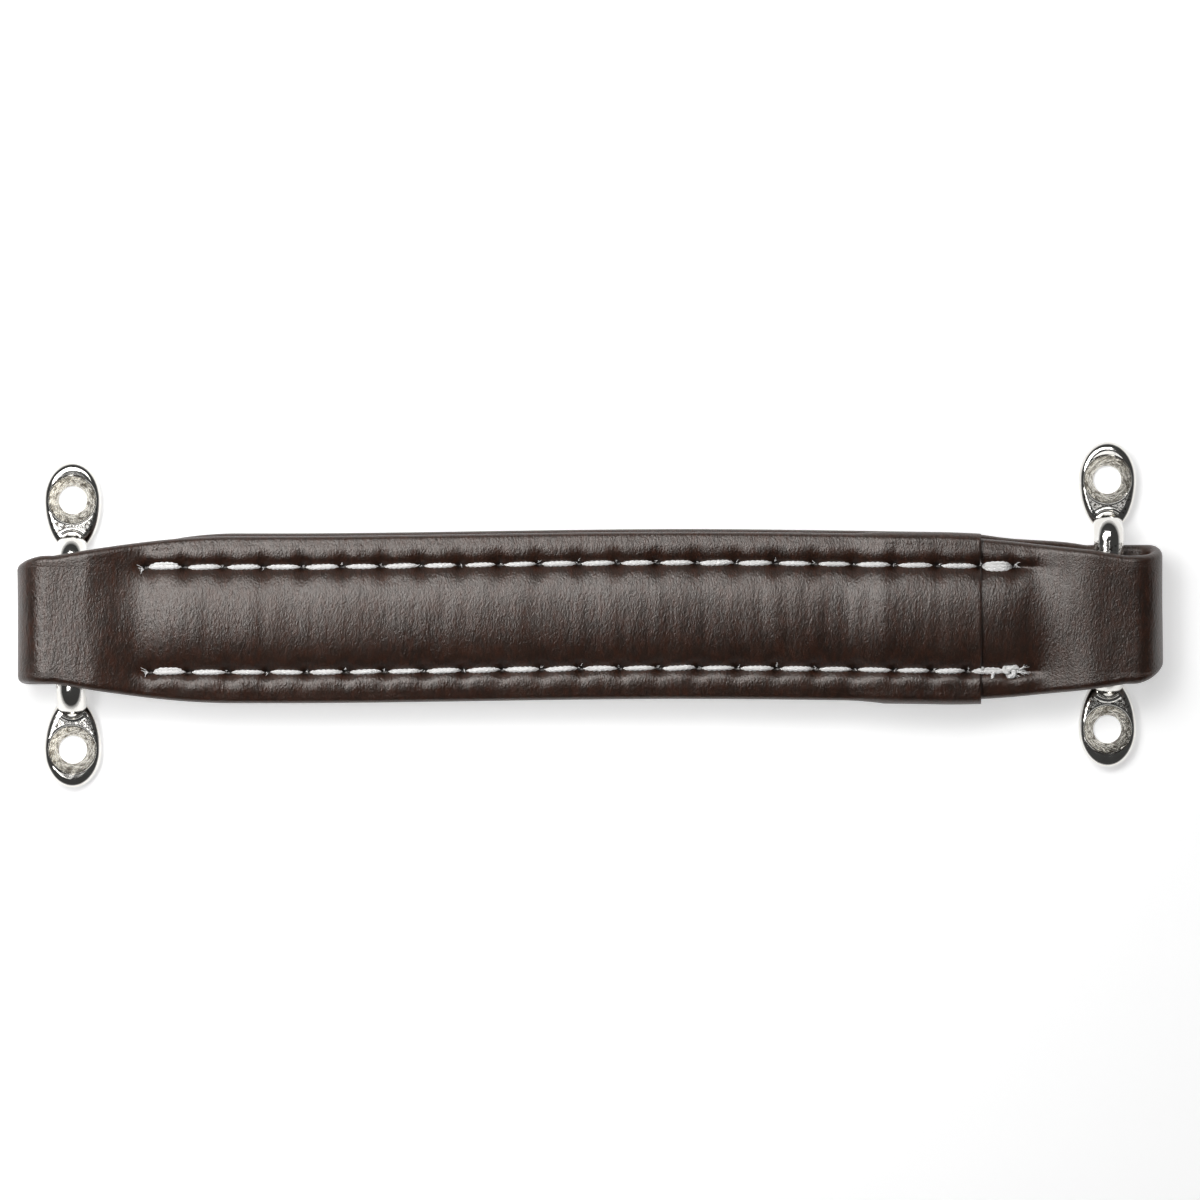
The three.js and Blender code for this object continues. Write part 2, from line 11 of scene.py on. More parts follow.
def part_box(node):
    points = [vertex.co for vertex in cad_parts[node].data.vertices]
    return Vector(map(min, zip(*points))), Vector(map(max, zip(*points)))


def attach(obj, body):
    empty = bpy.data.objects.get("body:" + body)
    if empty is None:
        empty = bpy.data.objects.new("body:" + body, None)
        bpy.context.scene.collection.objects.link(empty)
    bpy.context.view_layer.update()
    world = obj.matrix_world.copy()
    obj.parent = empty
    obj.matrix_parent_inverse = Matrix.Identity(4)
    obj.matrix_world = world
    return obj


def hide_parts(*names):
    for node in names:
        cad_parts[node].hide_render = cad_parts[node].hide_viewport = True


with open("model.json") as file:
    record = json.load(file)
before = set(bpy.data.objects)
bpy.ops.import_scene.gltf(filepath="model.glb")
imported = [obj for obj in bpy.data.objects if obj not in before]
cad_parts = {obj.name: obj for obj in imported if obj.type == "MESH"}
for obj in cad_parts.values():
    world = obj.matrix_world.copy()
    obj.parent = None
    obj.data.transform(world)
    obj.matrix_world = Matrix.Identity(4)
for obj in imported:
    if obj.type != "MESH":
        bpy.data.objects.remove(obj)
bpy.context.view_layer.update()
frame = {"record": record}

MM = 0.001

# Places taken from the frame, in millimetres
JOINTS = {joint["child"]: joint["pos_m"] for joint in frame["record"]["behaviour"]["joints"]}
ROD_X = JOINTS["right_bracket"][0] / MM
MID_Z = JOINTS["right_bracket"][2] / MM
BRACKET_LEAN_Y = JOINTS["right_bracket"][1] / MM
END_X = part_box("strap_cover")[1][0] / MM

# Strap, in millimetres
STRAP_Y = -1.05
BODY_HALF_WIDTH = 17.5
LOOP_HALF_WIDTH = 13.4
UNDER_LOOP_HALF_WIDTH = 12.5
LOOP_NECK = 7.9
SHOULDER_LENGTH = 38
UNDER_NECK = 15.9
UNDER_SHOULDER_LENGTH = 30
UNDER_SHIFT_Y = 0.6
BOW_Y = 0.9  # sideways bow of the soft strap between its eyes, most at BOW_X
BOW_X = 20
COVERED_END_NARROWING = 0.5
COVER_THICKNESS = 1.3
LAYER_GAP = 0.15
RUN_GAP = 0.3
CROWN_RISE = 2.65
ROW_Y = 11
CROWN_POWER = 0.92  # of the crown's curve between the rows
LOOP_CROWN_POWER = 1.7  # past the rows, where no edge is left along them
GROOVE_DEPTH = 0.46
GROOVE_REACH = 1.15
PUCKER_DEPTH = 0.72
PUCKER_REACH = (1.7, 2.5)  # along the row and across it
HOLE_DEPTH = 0.5
HOLE_REACH = (0.95, 0.66)
RIM_LEAST = 1.8
RIM_PUFF = 0.62
RIM_POWER = 0.85
SLOW_DEPTH = 0.22
CREASE_DEPTH = 0.1
HEM_PAST_ROW = 1
HEM_PRESSED = 0.3  # how much thinner the hem is where it is sewn down
BAND_PAST_ROW = 1.3  # how far the inner band's edge stays inside a row
CROWN_FULL_X = 85
CROWN_NONE_X = 105
SEWN_END_X = 92
EYE_OPEN_X = 106
ROW_FADE = (90.5, 96.5)  # where the rows' grooves and the puffed rims run out
EYE_RADIUS = 3.475
FOLD_RADIUS = COVER_THICKNESS + LAYER_GAP / 2
LOOP_FOLD_HEIGHT = EYE_RADIUS + FOLD_RADIUS
LOOP_RADIUS = LOOP_FOLD_HEIGHT + FOLD_RADIUS
SEWN_FOLD_HEIGHT = RUN_GAP / 2 + FOLD_RADIUS
BEND_X = END_X - LOOP_RADIUS
ROW_FACE = 2.3  # height of the cover's face over the mid-plane along a row
SHIFTS = {-1: -BRACKET_LEAN_Y - STRAP_Y, 1: BRACKET_LEAN_Y - STRAP_Y}

# Lap of the cover's ends
LAP_END_X = 81.8
LAP_START_X = 61.5
LAP_RISE_X = 54
UNDER_LAP_END_X = 62.5
SLEEVE_GAP = 0.15
SLEEVE_SIDE_LIFT = 1.05  # of its wrap round the folded edges
SLEEVE_FACE_LIFT = 0.875  # of the outer end's face over the single cover's face

# Needle holes: evenly spaced along each row, apart from the hand-finished last few
FAR_HOLES = [-93 + 8.235 * i for i in range(20)] + [72.7, 81.5, 88.8]
NEAR_HOLES = [-92.1 + 8.2 * i for i in range(20)] + [71.6, 78.9, 88.2]
ROWS = {"far": (1, FAR_HOLES), "near": (-1, NEAR_HOLES)}


def smooth(share):
    """An even ease from 0 to 1."""
    share = np.clip(share, 0.0, 1.0)
    return share * share * (3 - 2 * share)


def mix(start, end, share):
    return start + (end - start) * share


# Stations along the strap


def half_width(x, loop, neck, shoulder):
    """Half the strap's width at x, from a loop's width over the shoulder to the full width."""
    share = np.clip((END_X - np.abs(x) - neck) / shoulder, 0, 1)
    return mix(loop, BODY_HALF_WIDTH, np.sin(share * math.pi / 2))


def bow_at(x):
    """How far the strap bows sideways at x."""
    return BOW_Y * (1 - smooth(np.abs(x - BOW_X) / (EYE_OPEN_X - BOW_X)))


def sleeve_share(x):
    """How far the outer end of the cover stands off the end beneath it, 0 to 1."""
    return np.clip((x - LAP_RISE_X) / (LAP_START_X - LAP_RISE_X), 0, 1)


def run_stations(xs, sense):
    """Stations on the upper run with sense 1, on the lower run with sense -1."""
    xs = np.asarray(xs, float)
    if sense > 0:
        narrowing = sleeve_share(xs) * smooth((ROD_X - xs) / (ROD_X - SEWN_END_X))
        half = half_width(xs, LOOP_HALF_WIDTH, LOOP_NECK, SHOULDER_LENGTH)
        half = half - COVERED_END_NARROWING * narrowing
        shift = np.zeros_like(xs)
    else:
        half = half_width(xs, UNDER_LOOP_HALF_WIDTH, UNDER_NECK, UNDER_SHOULDER_LENGTH)
        share = smooth((np.abs(xs) - CROWN_FULL_X) / (EYE_OPEN_X - CROWN_FULL_X))
        shift = mix(UNDER_SHIFT_Y, np.where(xs < 0, SHIFTS[-1], SHIFTS[1]), share)
    return {
        "x": xs,
        "turn": np.full_like(xs, 90.0 * sense),
        "half": half,
        "shift": shift,
        "sewn": smooth((EYE_OPEN_X - np.abs(xs)) / (EYE_OPEN_X - SEWN_END_X)),
        "crown": smooth((CROWN_NONE_X - np.abs(xs)) / (CROWN_NONE_X - CROWN_FULL_X)),
        "sense": np.full_like(xs, float(sense)),
    }


def bend_stations(side, steps):
    """Stations of the bend at an end of the strap, from its top to its bottom."""
    share = np.arange(1, steps) / steps
    angle = mix(90.0, -90.0, share)
    return {
        "x": np.full_like(share, side * BEND_X),
        "turn": angle if side > 0 else 180 - angle,
        "half": mix(LOOP_HALF_WIDTH, UNDER_LOOP_HALF_WIDTH, smooth(2 * share)),
        "shift": SHIFTS[side] * smooth(share * 4 / 3),
        "sewn": np.zeros_like(share),
        "crown": np.zeros_like(share),
        "sense": np.where(share < 0.5, 1.0, -1.0),
    }


def backwards(stations):
    return {key: values[::-1] for key, values in stations.items()}


def spaced(start, end, step):
    """Even places from start towards end, without the last one."""
    return np.linspace(start, end, max(2, round(abs(end - start) / step) + 1))[:-1]


def way_round(fine, coarse, start_x, end_x, bend_steps):
    """From the lap leftwards, round both bends and back under the lap. The sewn stretch has
    stations every fine millimetres on top, and every coarse ones elsewhere."""
    parts = [
        run_stations(spaced(start_x, -SEWN_END_X, fine), 1),
        run_stations(spaced(-SEWN_END_X, -BEND_X, coarse), 1),
        run_stations([-BEND_X], 1),
        bend_stations(-1, bend_steps),
        run_stations(spaced(-BEND_X, BEND_X, coarse), -1),
        run_stations([BEND_X], -1),
        backwards(bend_stations(1, bend_steps)),
        run_stations(spaced(BEND_X, end_x, coarse), 1),
        run_stations([end_x], 1),
    ]
    return {key: np.concatenate([part[key] for part in parts]) for key in parts[0]}


# Sections of the strap. A section is a ring of points (y, n): y across the strap from the middle
# of the run, n out of the strap's mid-plane. Arrays are stations by points.

FOLD_STEPS = 9
RIM_SHARES = np.array([0.14, 0.3, 0.46, 0.6, 0.72, 0.82, 0.91])  # from the edge in to the row
WRAP_ANGLES = np.array([-30, 0, 30, 55, 75, 90])
CROWN_SHARES = np.array([1, 0.97, 0.935, 0.89, 0.83, 0.755, 0.66, 0.55, 0.43, 0.3, 0.15])


def column(values):
    """One value for each station, ready to combine with rows of points."""
    return np.asarray(values)[:, None]


def lines_of(st, side):
    """For each station the fold's height, the row's place and the edge's place."""
    base = mix(LOOP_FOLD_HEIGHT, SEWN_FOLD_HEIGHT, st["sewn"])
    row = np.minimum(ROW_Y - side * st["shift"], st["half"] - RIM_LEAST)
    return column(base), column(row), column(st["half"] - FOLD_RADIUS)


def hole_distances(st, side):
    """Distance along the strap from each station to the nearest needle hole of a row."""
    holes = np.array(ROWS["far" if side > 0 else "near"][1])
    return np.abs(st["x"][:, None] - holes[None, :]).min(axis=1)[:, None]


def row_share(st):
    """1 along the rows, easing to 0 past their ends."""
    full, none = ROW_FADE
    return column(smooth((none - np.abs(st["x"])) / (none - full)))


def seam_pull(st, side, y, row):
    """How far the stitching pulls the face in, and how near each point is to a hole."""
    across = np.abs(y) - row
    along = hole_distances(st, side)

    def nearness(reach_along, reach_across):
        return np.exp(-((along / reach_along) ** 2) - (across / reach_across) ** 2)

    groove = GROOVE_DEPTH * row_share(st) * np.exp(-((across / GROOVE_REACH) ** 2))
    pucker = PUCKER_DEPTH * nearness(*PUCKER_REACH)
    hole = nearness(*HOLE_REACH)
    return column(st["sewn"]) * (groove + pucker + HOLE_DEPTH * hole), hole


def face_height(st, side, y, lines):
    """Height of the outer face at y on one side of the middle, and the nearness to holes."""
    base, row, edge = lines
    crown = column(st["crown"])
    inside = np.clip(y / row, 0, 1)
    rim = np.clip((y - row) / (edge - row), 0, 1)
    power = mix(LOOP_CROWN_POWER, CROWN_POWER, row_share(st))
    domed = CROWN_RISE * crown * np.clip(1 - inside**2, 0, 1) ** power
    puff = RIM_PUFF * row_share(st) * np.sin(math.pi * rim) ** RIM_POWER
    pull, hole = seam_pull(st, side, y, row)
    return base + FOLD_RADIUS + domed + puff - pull, hole


def fold_arc(lines, radius, low, high):
    """Points round the folded edge at a radius, from one angle to another."""
    base, _, edge = lines
    angles = np.radians(np.linspace(low, high, FOLD_STEPS))[None, :]
    return edge + radius * np.cos(angles), base + radius * np.sin(angles)


def half_section(st, side, lap):
    """Points of one half from the fold's underside round to the crown, then of the hem and the
    wall's inner face. lap is each station's share of the sleeve's form."""
    lines = lines_of(st, side)
    base, row, edge = lines
    lap = column(lap)
    arc_y, arc_n = fold_arc(lines, FOLD_RADIUS, -90, 90)
    sleeve_y, sleeve_n = fold_arc(lines, FOLD_RADIUS + SLEEVE_SIDE_LIFT, -30, 90)
    rim_y = edge + (row - edge) * RIM_SHARES[None, :]
    crown_y = row * CROWN_SHARES[None, :]
    face_y = np.hstack([rim_y, crown_y])
    face_n, hole = face_height(st, side, face_y, lines)
    out_y = np.hstack([mix(arc_y, sleeve_y, lap), face_y])
    out_n = np.hstack([mix(arc_n, sleeve_n, lap), face_n + lap * SLEEVE_FACE_LIFT])
    holes = np.hstack([np.zeros_like(arc_y), hole])

    # The hem under the wall, and in the sleeve the inner side of the wrap
    under = base - FOLD_RADIUS
    hem_top = base - LAYER_GAP / 2 - HEM_PRESSED * column(st["sewn"])
    tip = row - HEM_PAST_ROW
    hem_y = np.hstack([mix(edge, tip, 0.25), mix(edge, tip, 0.6), tip, tip, row, edge])
    hem_n = np.hstack([under, under, under, hem_top, hem_top, base])
    wrap = np.radians(WRAP_ANGLES)[None, :]
    inner_radius = FOLD_RADIUS + SLEEVE_GAP
    wrap_y = edge + inner_radius * np.cos(wrap)
    wrap_n = base + inner_radius * np.sin(wrap)
    wall_y = np.hstack([rim_y[:, 3:4], row, row * 0.75, row * 0.4])
    wall_face, _ = face_height(st, side, wall_y, lines)
    wall_n = wall_face - COVER_THICKNESS
    in_y = np.hstack([mix(hem_y, wrap_y, lap), wall_y])
    in_n = np.hstack([mix(hem_n, wrap_n, lap), mix(wall_n, wall_face + SLEEVE_GAP, lap)])
    return out_y, out_n, in_y, in_n, holes


def middle_height(st):
    """Height of the outer face along the strap's middle line."""
    lines = lines_of(st, 1)
    return face_height(st, 1, np.zeros_like(lines[1]), lines)[0]


def cover_rings(st, lap):
    """Whole rings (y, n, hole): the outer face from +y to -y, then the inside back again."""
    plus = half_section(st, 1, lap)
    minus = half_section(st, -1, lap)
    middle = middle_height(st)
    lap = column(lap)
    top = middle + lap * SLEEVE_FACE_LIFT
    inside = mix(middle - COVER_THICKNESS, middle + SLEEVE_GAP, lap)
    none = np.zeros_like(middle)
    y = np.hstack([plus[0], none, -minus[0][:, ::-1], -minus[2], none, plus[2][:, ::-1]])
    n = np.hstack([plus[1], top, minus[1][:, ::-1], minus[3], inside, plus[3][:, ::-1]])
    blank = [np.zeros_like(minus[2]), none, np.zeros_like(plus[2])]
    hole = np.hstack([plus[4], none, minus[4][:, ::-1], *blank])
    return y, n, hole


def placed(st, y, n):
    """World points in millimetres of the rings, stations by points by 3."""
    turn = np.radians(column(st["turn"]))
    x = column(st["x"]) + n * np.cos(turn)
    z = MID_Z + n * np.sin(turn)
    middle = STRAP_Y + column(bow_at(st["x"]) + st["shift"])
    return np.stack([x, middle + y, z], axis=2)


def noise_at(points, scale, seed):
    """A smooth noise value for each point, the same on every run."""
    offset = Vector((seed * 17.3, seed * 5.1, seed * 9.7))
    return np.array([noise.noise(Vector(point) * scale + offset) for point in points])


# Meshes


def clear_selection():
    if bpy.context.mode != "OBJECT":
        bpy.ops.object.mode_set(mode="OBJECT")
    bpy.ops.object.select_all(action="DESELECT")


def pick(piece):
    clear_selection()
    piece.select_set(True)
    bpy.context.view_layer.objects.active = piece


def ring_mesh(name, points, along, girth, values=None):
    """A closed tube of quads over rings of points in millimetres, with its own UV map in metres
    and, where values are given, a value for each point in the attribute seam."""
    rings, count, _ = points.shape
    grid = np.arange(rings * count).reshape(rings, count)
    near = grid[:-1]
    far = grid[1:]
    faces = np.stack([near, np.roll(near, -1, 1), np.roll(far, -1, 1), far], axis=2)
    faces = [tuple(face) for face in faces.reshape(-1, 4).tolist()]
    faces += [tuple(reversed(grid[0].tolist())), tuple(grid[-1].tolist())]
    mesh = bpy.data.meshes.new(name)
    mesh.from_pydata((points.reshape(-1, 3) * MM).tolist(), [], faces)
    mesh.validate()
    layer = mesh.uv_layers.new(name="along")
    corners = np.empty(len(mesh.loops), dtype=np.int64)
    mesh.loops.foreach_get("vertex_index", corners)
    u = np.repeat(along, count)[corners]
    v = np.tile(girth[:-1], rings)[corners]
    sides = corners[: (rings - 1) * count * 4].reshape(-1, 4)
    wraps = (sides % count == 0) & ((sides % count).max(axis=1, keepdims=True) == count - 1)
    v[: wraps.size] = np.where(wraps.reshape(-1), girth[-1], v[: wraps.size])
    layer.data.foreach_set("uv", (np.stack([u, v], axis=1) * MM).ravel())
    if values is not None:
        attribute = mesh.attributes.new("seam", "FLOAT", "POINT")
        attribute.data.foreach_set("value", values.ravel())
    piece = bpy.data.objects.new(name, mesh)
    bpy.context.collection.objects.link(piece)
    pick(piece)
    bpy.ops.object.mode_set(mode="EDIT")
    bpy.ops.mesh.select_all(action="SELECT")
    bpy.ops.mesh.normals_make_consistent(inside=False)
    bpy.ops.object.mode_set(mode="OBJECT")
    bpy.ops.object.shade_smooth()
    return piece


def path_lengths(points):
    """How far along the tube each ring lies."""
    steps = np.linalg.norm(np.diff(points.mean(axis=1), axis=0), axis=1)
    return np.concatenate([[0], np.cumsum(steps)])


def ring_girth(points):
    """How far round a ring each point lies, and the whole way round."""
    ring = points[len(points) // 3]
    steps = np.linalg.norm(np.roll(ring, -1, 0) - ring, axis=1)
    return np.concatenate([[0], np.cumsum(steps)])


def crumpled(points, y):
    """The rings with the slow unevenness of padded vinyl, as offsets out of the mid-plane."""
    flat = points.reshape(-1, 3) * np.array([1.0, 0.55, 1.0])
    slow = noise_at(flat, scale=0.07, seed=1)
    creased = noise_at(flat * np.array([2.4, 0.8, 1.6]), scale=0.16, seed=2)
    return (slow * SLOW_DEPTH + creased * CREASE_DEPTH).reshape(y.shape)


def make_cover():
    """The cover: one long strip, thick as its wall and hems, round the whole strap."""
    st = way_round(0.5, 0.85, LAP_END_X, UNDER_LAP_END_X, bend_steps=28)
    on_top = np.arange(len(st["x"])) < np.argmax(st["sense"] < 0)
    lap = np.where(on_top, sleeve_share(st["x"]), 0)
    y, n, hole = cover_rings(st, lap)
    n = n + crumpled(placed(st, y, n), y)
    points = placed(st, y, n)
    return ring_mesh("cover_vinyl", points, path_lengths(points), ring_girth(points), hole)


# Threads, in millimetres

THREAD_RADIUS = 0.56
THREAD_TWIST = 3.1
THREAD_DIP = 3.6  # of the thread's middle from its crest towards a needle hole
THREAD_LOWEST = 0.45  # of the thread's middle over the strap's mid-plane
THREAD_CREST = 0.34  # of the thread's middle over the cover's face
THREAD_SIDES = 14
STITCH_STEPS = 26
STITCH_SQUARENESS = 3.4
FIBRE_RADIUS = 0.075
FIBRE_SIDES = 5
FIBRE_STEPS = 9
KNOT_RADIUS = 0.52
TAIL_RADIUS = 0.34


def face_on_row(x, sense):
    """Height of the cover's face over the mid-plane where a row passes x."""
    if sense > 0 and x < LAP_END_X:
        return ROW_FACE + SLEEVE_FACE_LIFT * float(sleeve_share(x))
    return ROW_FACE


def tube_rings(centres, radii, sides, phase=0.0, ply=0.13):
    """Rings round a thread that follows the given middle points, its three plies twisted
    together. With ply 0 it is a plain round fibre."""
    centres = np.asarray(centres, float)
    tangents = np.gradient(centres, axis=0)
    tangents /= np.linalg.norm(tangents, axis=1)[:, None]
    lengths = np.concatenate([[0], np.cumsum(np.linalg.norm(np.diff(centres, axis=0), axis=1))])
    across = np.cross(tangents, [0.03, 0.05, 1.0])
    across /= np.linalg.norm(across, axis=1)[:, None]
    upwards = np.cross(across, tangents)
    angle = (np.arange(sides) * 2 * math.pi / sides)[None, :]
    twist = phase + column(lengths) * 2 * math.pi / THREAD_TWIST
    radius = column(radii) * (1 + ply * np.cos(3 * (angle - twist)))
    out = across[:, None, :] * (radius * np.cos(angle))[:, :, None]
    out = out + upwards[:, None, :] * (radius * np.sin(angle))[:, :, None]
    return centres[:, None, :] + out


def thread_course(row_name, sense, offset=0.0, first=0, last=None):
    """Middle points and radii of a row's thread, from hole to hole."""
    side, holes = ROWS[row_name]
    last = len(holes) - 1 if last is None else last
    rng = np.random.default_rng(11 + 5 * (row_name == "far") + 3 * (sense > 0))
    tilts = rng.normal(0.1, 0.07, len(holes))
    plump = rng.uniform(0.9, 1.1, len(holes))
    centres, radii = [], []
    for index in range(first, last):
        for step in range(STITCH_STEPS + (index == last - 1)):
            t = step / STITCH_STEPS
            x = mix(holes[index], holes[index + 1], t)
            rise = 1 - abs(2 * t - 1) ** STITCH_SQUARENESS
            crest = face_on_row(x, sense) + THREAD_CREST
            n = max(THREAD_LOWEST, crest - THREAD_DIP * (1 - rise))
            y = STRAP_Y + float(bow_at(x)) + side * ROW_Y
            y += tilts[index] * (2 * t - 1) + offset * rise
            centres.append((x, y, MID_Z + sense * n))
            fullness = 0.72 + 0.28 * math.sin(math.pi * t) ** 0.6
            radii.append(THREAD_RADIUS * plump[index] * fullness)
    return np.array(centres), np.array(radii)


def frayed_end(place, heading, spread, reach, count, seed):
    """Loose fibres that leave a thread's cut end, as middle points and radii of each."""
    rng = np.random.default_rng(seed)
    fibres = []
    for _ in range(count):
        turn = heading + rng.uniform(-spread, spread)
        curl = rng.uniform(-0.9, 0.9)
        lift = rng.uniform(-0.15, 0.4)
        length = reach * rng.uniform(0.4, 1.0)
        start = np.array(place) + rng.normal(0, 0.14, 3)
        steps = np.linspace(0, 1, FIBRE_STEPS)
        angles = np.radians(turn) + curl * steps
        headings = np.stack([np.cos(angles), np.sin(angles)], axis=1)
        run = np.cumsum(headings, axis=0) * length / FIBRE_STEPS
        rise = lift * length * np.sin(math.pi * 0.6 * steps)
        points = start + np.column_stack([run, rise])
        fibres.append((points, FIBRE_RADIUS * (1.15 - 0.7 * steps)))
    return fibres


def knot_course(place, size):
    """A small overhand knot pressed flat on the vinyl."""
    t = np.linspace(0.25, 2 * math.pi - 0.25, 70)
    x = size * (np.sin(t) + 2 * np.sin(2 * t)) / 3
    y = size * 0.75 * (np.cos(t) - 2 * np.cos(2 * t)) / 3
    z = -0.34 * np.sin(3 * t)
    return np.array(place) + np.column_stack([x, y, z]), np.full(len(t), KNOT_RADIUS)


def thread_piece(name, courses, fibres=()):
    """One mesh of thick plied courses and of thin round fibres."""
    parts = []
    for index, (centres, radii) in enumerate(courses):
        points = tube_rings(centres, radii, THREAD_SIDES, phase=index * 1.3)
        girth = np.linspace(0, 2 * math.pi * THREAD_RADIUS, THREAD_SIDES + 1)
        parts.append(ring_mesh(f"{name}_{index}", points, path_lengths(points), girth))
    for index, (centres, radii) in enumerate(fibres):
        points = tube_rings(centres, radii, FIBRE_SIDES, ply=0)
        girth = np.linspace(0, 2 * math.pi * FIBRE_RADIUS, FIBRE_SIDES + 1)
        parts.append(ring_mesh(f"{name}_fibre_{index}", points, path_lengths(points), girth))
    clear_selection()
    for part in parts:
        part.select_set(True)
    bpy.context.view_layer.objects.active = parts[0]
    if len(parts) > 1:
        bpy.ops.object.join()
    piece = parts[0]
    piece.name = name
    return piece


def on_row(row_name, x, aside=0.0, lift=0.0):
    """A point on the upper face beside a stitch row."""
    side, _ = ROWS[row_name]
    y = STRAP_Y + float(bow_at(x)) + side * ROW_Y + aside
    return (x, y, MID_Z + face_on_row(x, 1) + THREAD_CREST + lift)


def top_row_ends(row_name):
    """The doubled first and last stitches of an upper row, its knot and its frayed ends."""
    holes = ROWS[row_name][1]
    last = len(holes) - 1

    def frayed(x, aside, lift, heading, spread, reach, count, seed):
        place = on_row(row_name, x, aside, lift)
        return frayed_end(place, heading, spread, reach, count, seed)

    def last_stitch(offset):
        return thread_course(row_name, 1, offset, last - 1, last)

    courses = [thread_course(row_name, 1, 0.72, 0, 1)]
    aside = -0.35 if row_name == "far" else 0.1
    fibres = frayed(holes[0] - 0.3, aside, 0, 195, 50, 1.9, count=9, seed=21)
    for index in range(2, last):
        heading = 60 + 70 * index
        fibres += frayed(holes[index], 0.2, 0.12, heading, 50, 0.9, count=2, seed=100 + index)
    if row_name == "far":
        courses.append(last_stitch(0.68))
        courses.append(last_stitch(-0.68))
        fibres += frayed(holes[last], 0.2, 0, 15, 40, 1.5, count=6, seed=22)
    else:
        courses.append(knot_course(on_row(row_name, holes[last] - 0.2, 0.15, 0.3), 1.5))
        courses.append(last_stitch(0.6))
        share = np.linspace(0, 1, 8)
        tail_start = np.array(on_row(row_name, holes[last] - 3.8, -0.3, 0.55))
        tail = tail_start + np.column_stack([-0.5 * share, -1.7 * share, -0.2 * share])
        courses.append((tail, np.full(len(share), TAIL_RADIUS)))
        fibres += frayed(holes[last] + 1.1, 0.2, 0.1, 0, 32, 3.4, count=26, seed=23)
        fibres += frayed(holes[last] + 0.6, -0.6, 0, -60, 50, 1.8, count=14, seed=24)
    return courses, fibres


def make_thread(row_name, sense):
    """A row's thread, above the strap with sense 1 and below it with sense -1."""
    courses = [thread_course(row_name, sense)]
    if sense < 0:
        return thread_piece(f"under_stitches_{row_name}", courses)
    more, fibres = top_row_ends(row_name)
    return thread_piece(f"top_stitches_{row_name}", courses + more, fibres)


# Brackets, in millimetres

ROD_RADIUS = 3.175
ROD_BEND_RADIUS = 3.4
LEG_Y = 16.375
LEG_END_Z = 0.6  # the leg ends inside its foot
HOLE_Y = 26.2
HOLE_RADIUS = 2.95
COUNTERSINK_RADIUS = 5.33
COUNTERSINK_LAND = 0.5
FOOT_THICKNESS = 3.2
FOOT_HALF_WIDTH = 6.1
FOOT_REACH = 8
FOOT_BACK_REACH = 11
FOOT_WALL = 1.6
FOOT_TOP_SHARE = 0.743
FILLET_RISE = 1.2
FILLET_REACH = 0.9
FILLET_SUNK = 0.5  # how deep the flare starts inside its foot
LIP_DEPTH = 0.22
LIP_REACH = 0.34
CUT_PAST = 1.0  # how far a cutter goes past the faces that it cuts
CUT_WIDER = 0.3  # how much wider it is at its upper end than the countersink
OVERLAP = 0.1  # of the flare with its leg
HAIR = 0.01  # so that no two faces lie in one plane
CURVE_STEPS = 9  # of a dome's or a flare's profile
NEAR_ZERO = 1e-7  # metres


def select_vertices(piece, test):
    """Selects, in edit mode, the vertices whose place passes the test."""
    bpy.ops.mesh.select_all(action="DESELECT")
    bpy.ops.object.mode_set(mode="OBJECT")
    for vertex in piece.data.vertices:
        vertex.select = test(vertex.co)
    bpy.ops.object.mode_set(mode="EDIT")


def rod_piece():
    """The rod with its two legs: a circle drawn out, spun down and drawn down, then mirrored."""
    clear_selection()
    bpy.ops.mesh.primitive_circle_add(
        vertices=48,
        radius=ROD_RADIUS * MM,
        location=(0, 0, MID_Z * MM),
        rotation=(math.pi / 2, 0, 0),
    )
    rod = bpy.context.active_object
    bpy.ops.object.transform_apply(location=True, rotation=True, scale=True)
    bpy.ops.object.mode_set(mode="EDIT")
    bpy.ops.mesh.select_all(action="SELECT")
    straight = (LEG_Y - ROD_BEND_RADIUS) * MM
    bpy.ops.mesh.extrude_region_move(TRANSFORM_OT_translate={"value": (0, straight, 0)})
    bpy.ops.mesh.spin(
        steps=14,
        angle=math.pi / 2,
        center=(0, straight, (MID_Z - ROD_BEND_RADIUS) * MM),
        axis=(1, 0, 0),
    )
    down = (MID_Z - ROD_BEND_RADIUS - LEG_END_Z) * MM
    bpy.ops.mesh.extrude_region_move(TRANSFORM_OT_translate={"value": (0, 0, -down)})
    bpy.ops.mesh.edge_face_add()
    bpy.ops.object.mode_set(mode="OBJECT")
    mirror = rod.modifiers.new("mirror", "MIRROR")
    mirror.use_axis = (False, True, False)
    mirror.merge_threshold = 1e-5
    bpy.ops.object.modifier_apply(modifier="mirror")
    return rod


def draw_on(rise, wider, centre):
    """Draws the selected face up by a rise in millimetres, and scales it about the centre."""
    bpy.ops.mesh.extrude_region_move(TRANSFORM_OT_translate={"value": (0, 0, rise * MM)})
    bpy.ops.transform.resize(value=(wider, wider, 1), center_override=centre)


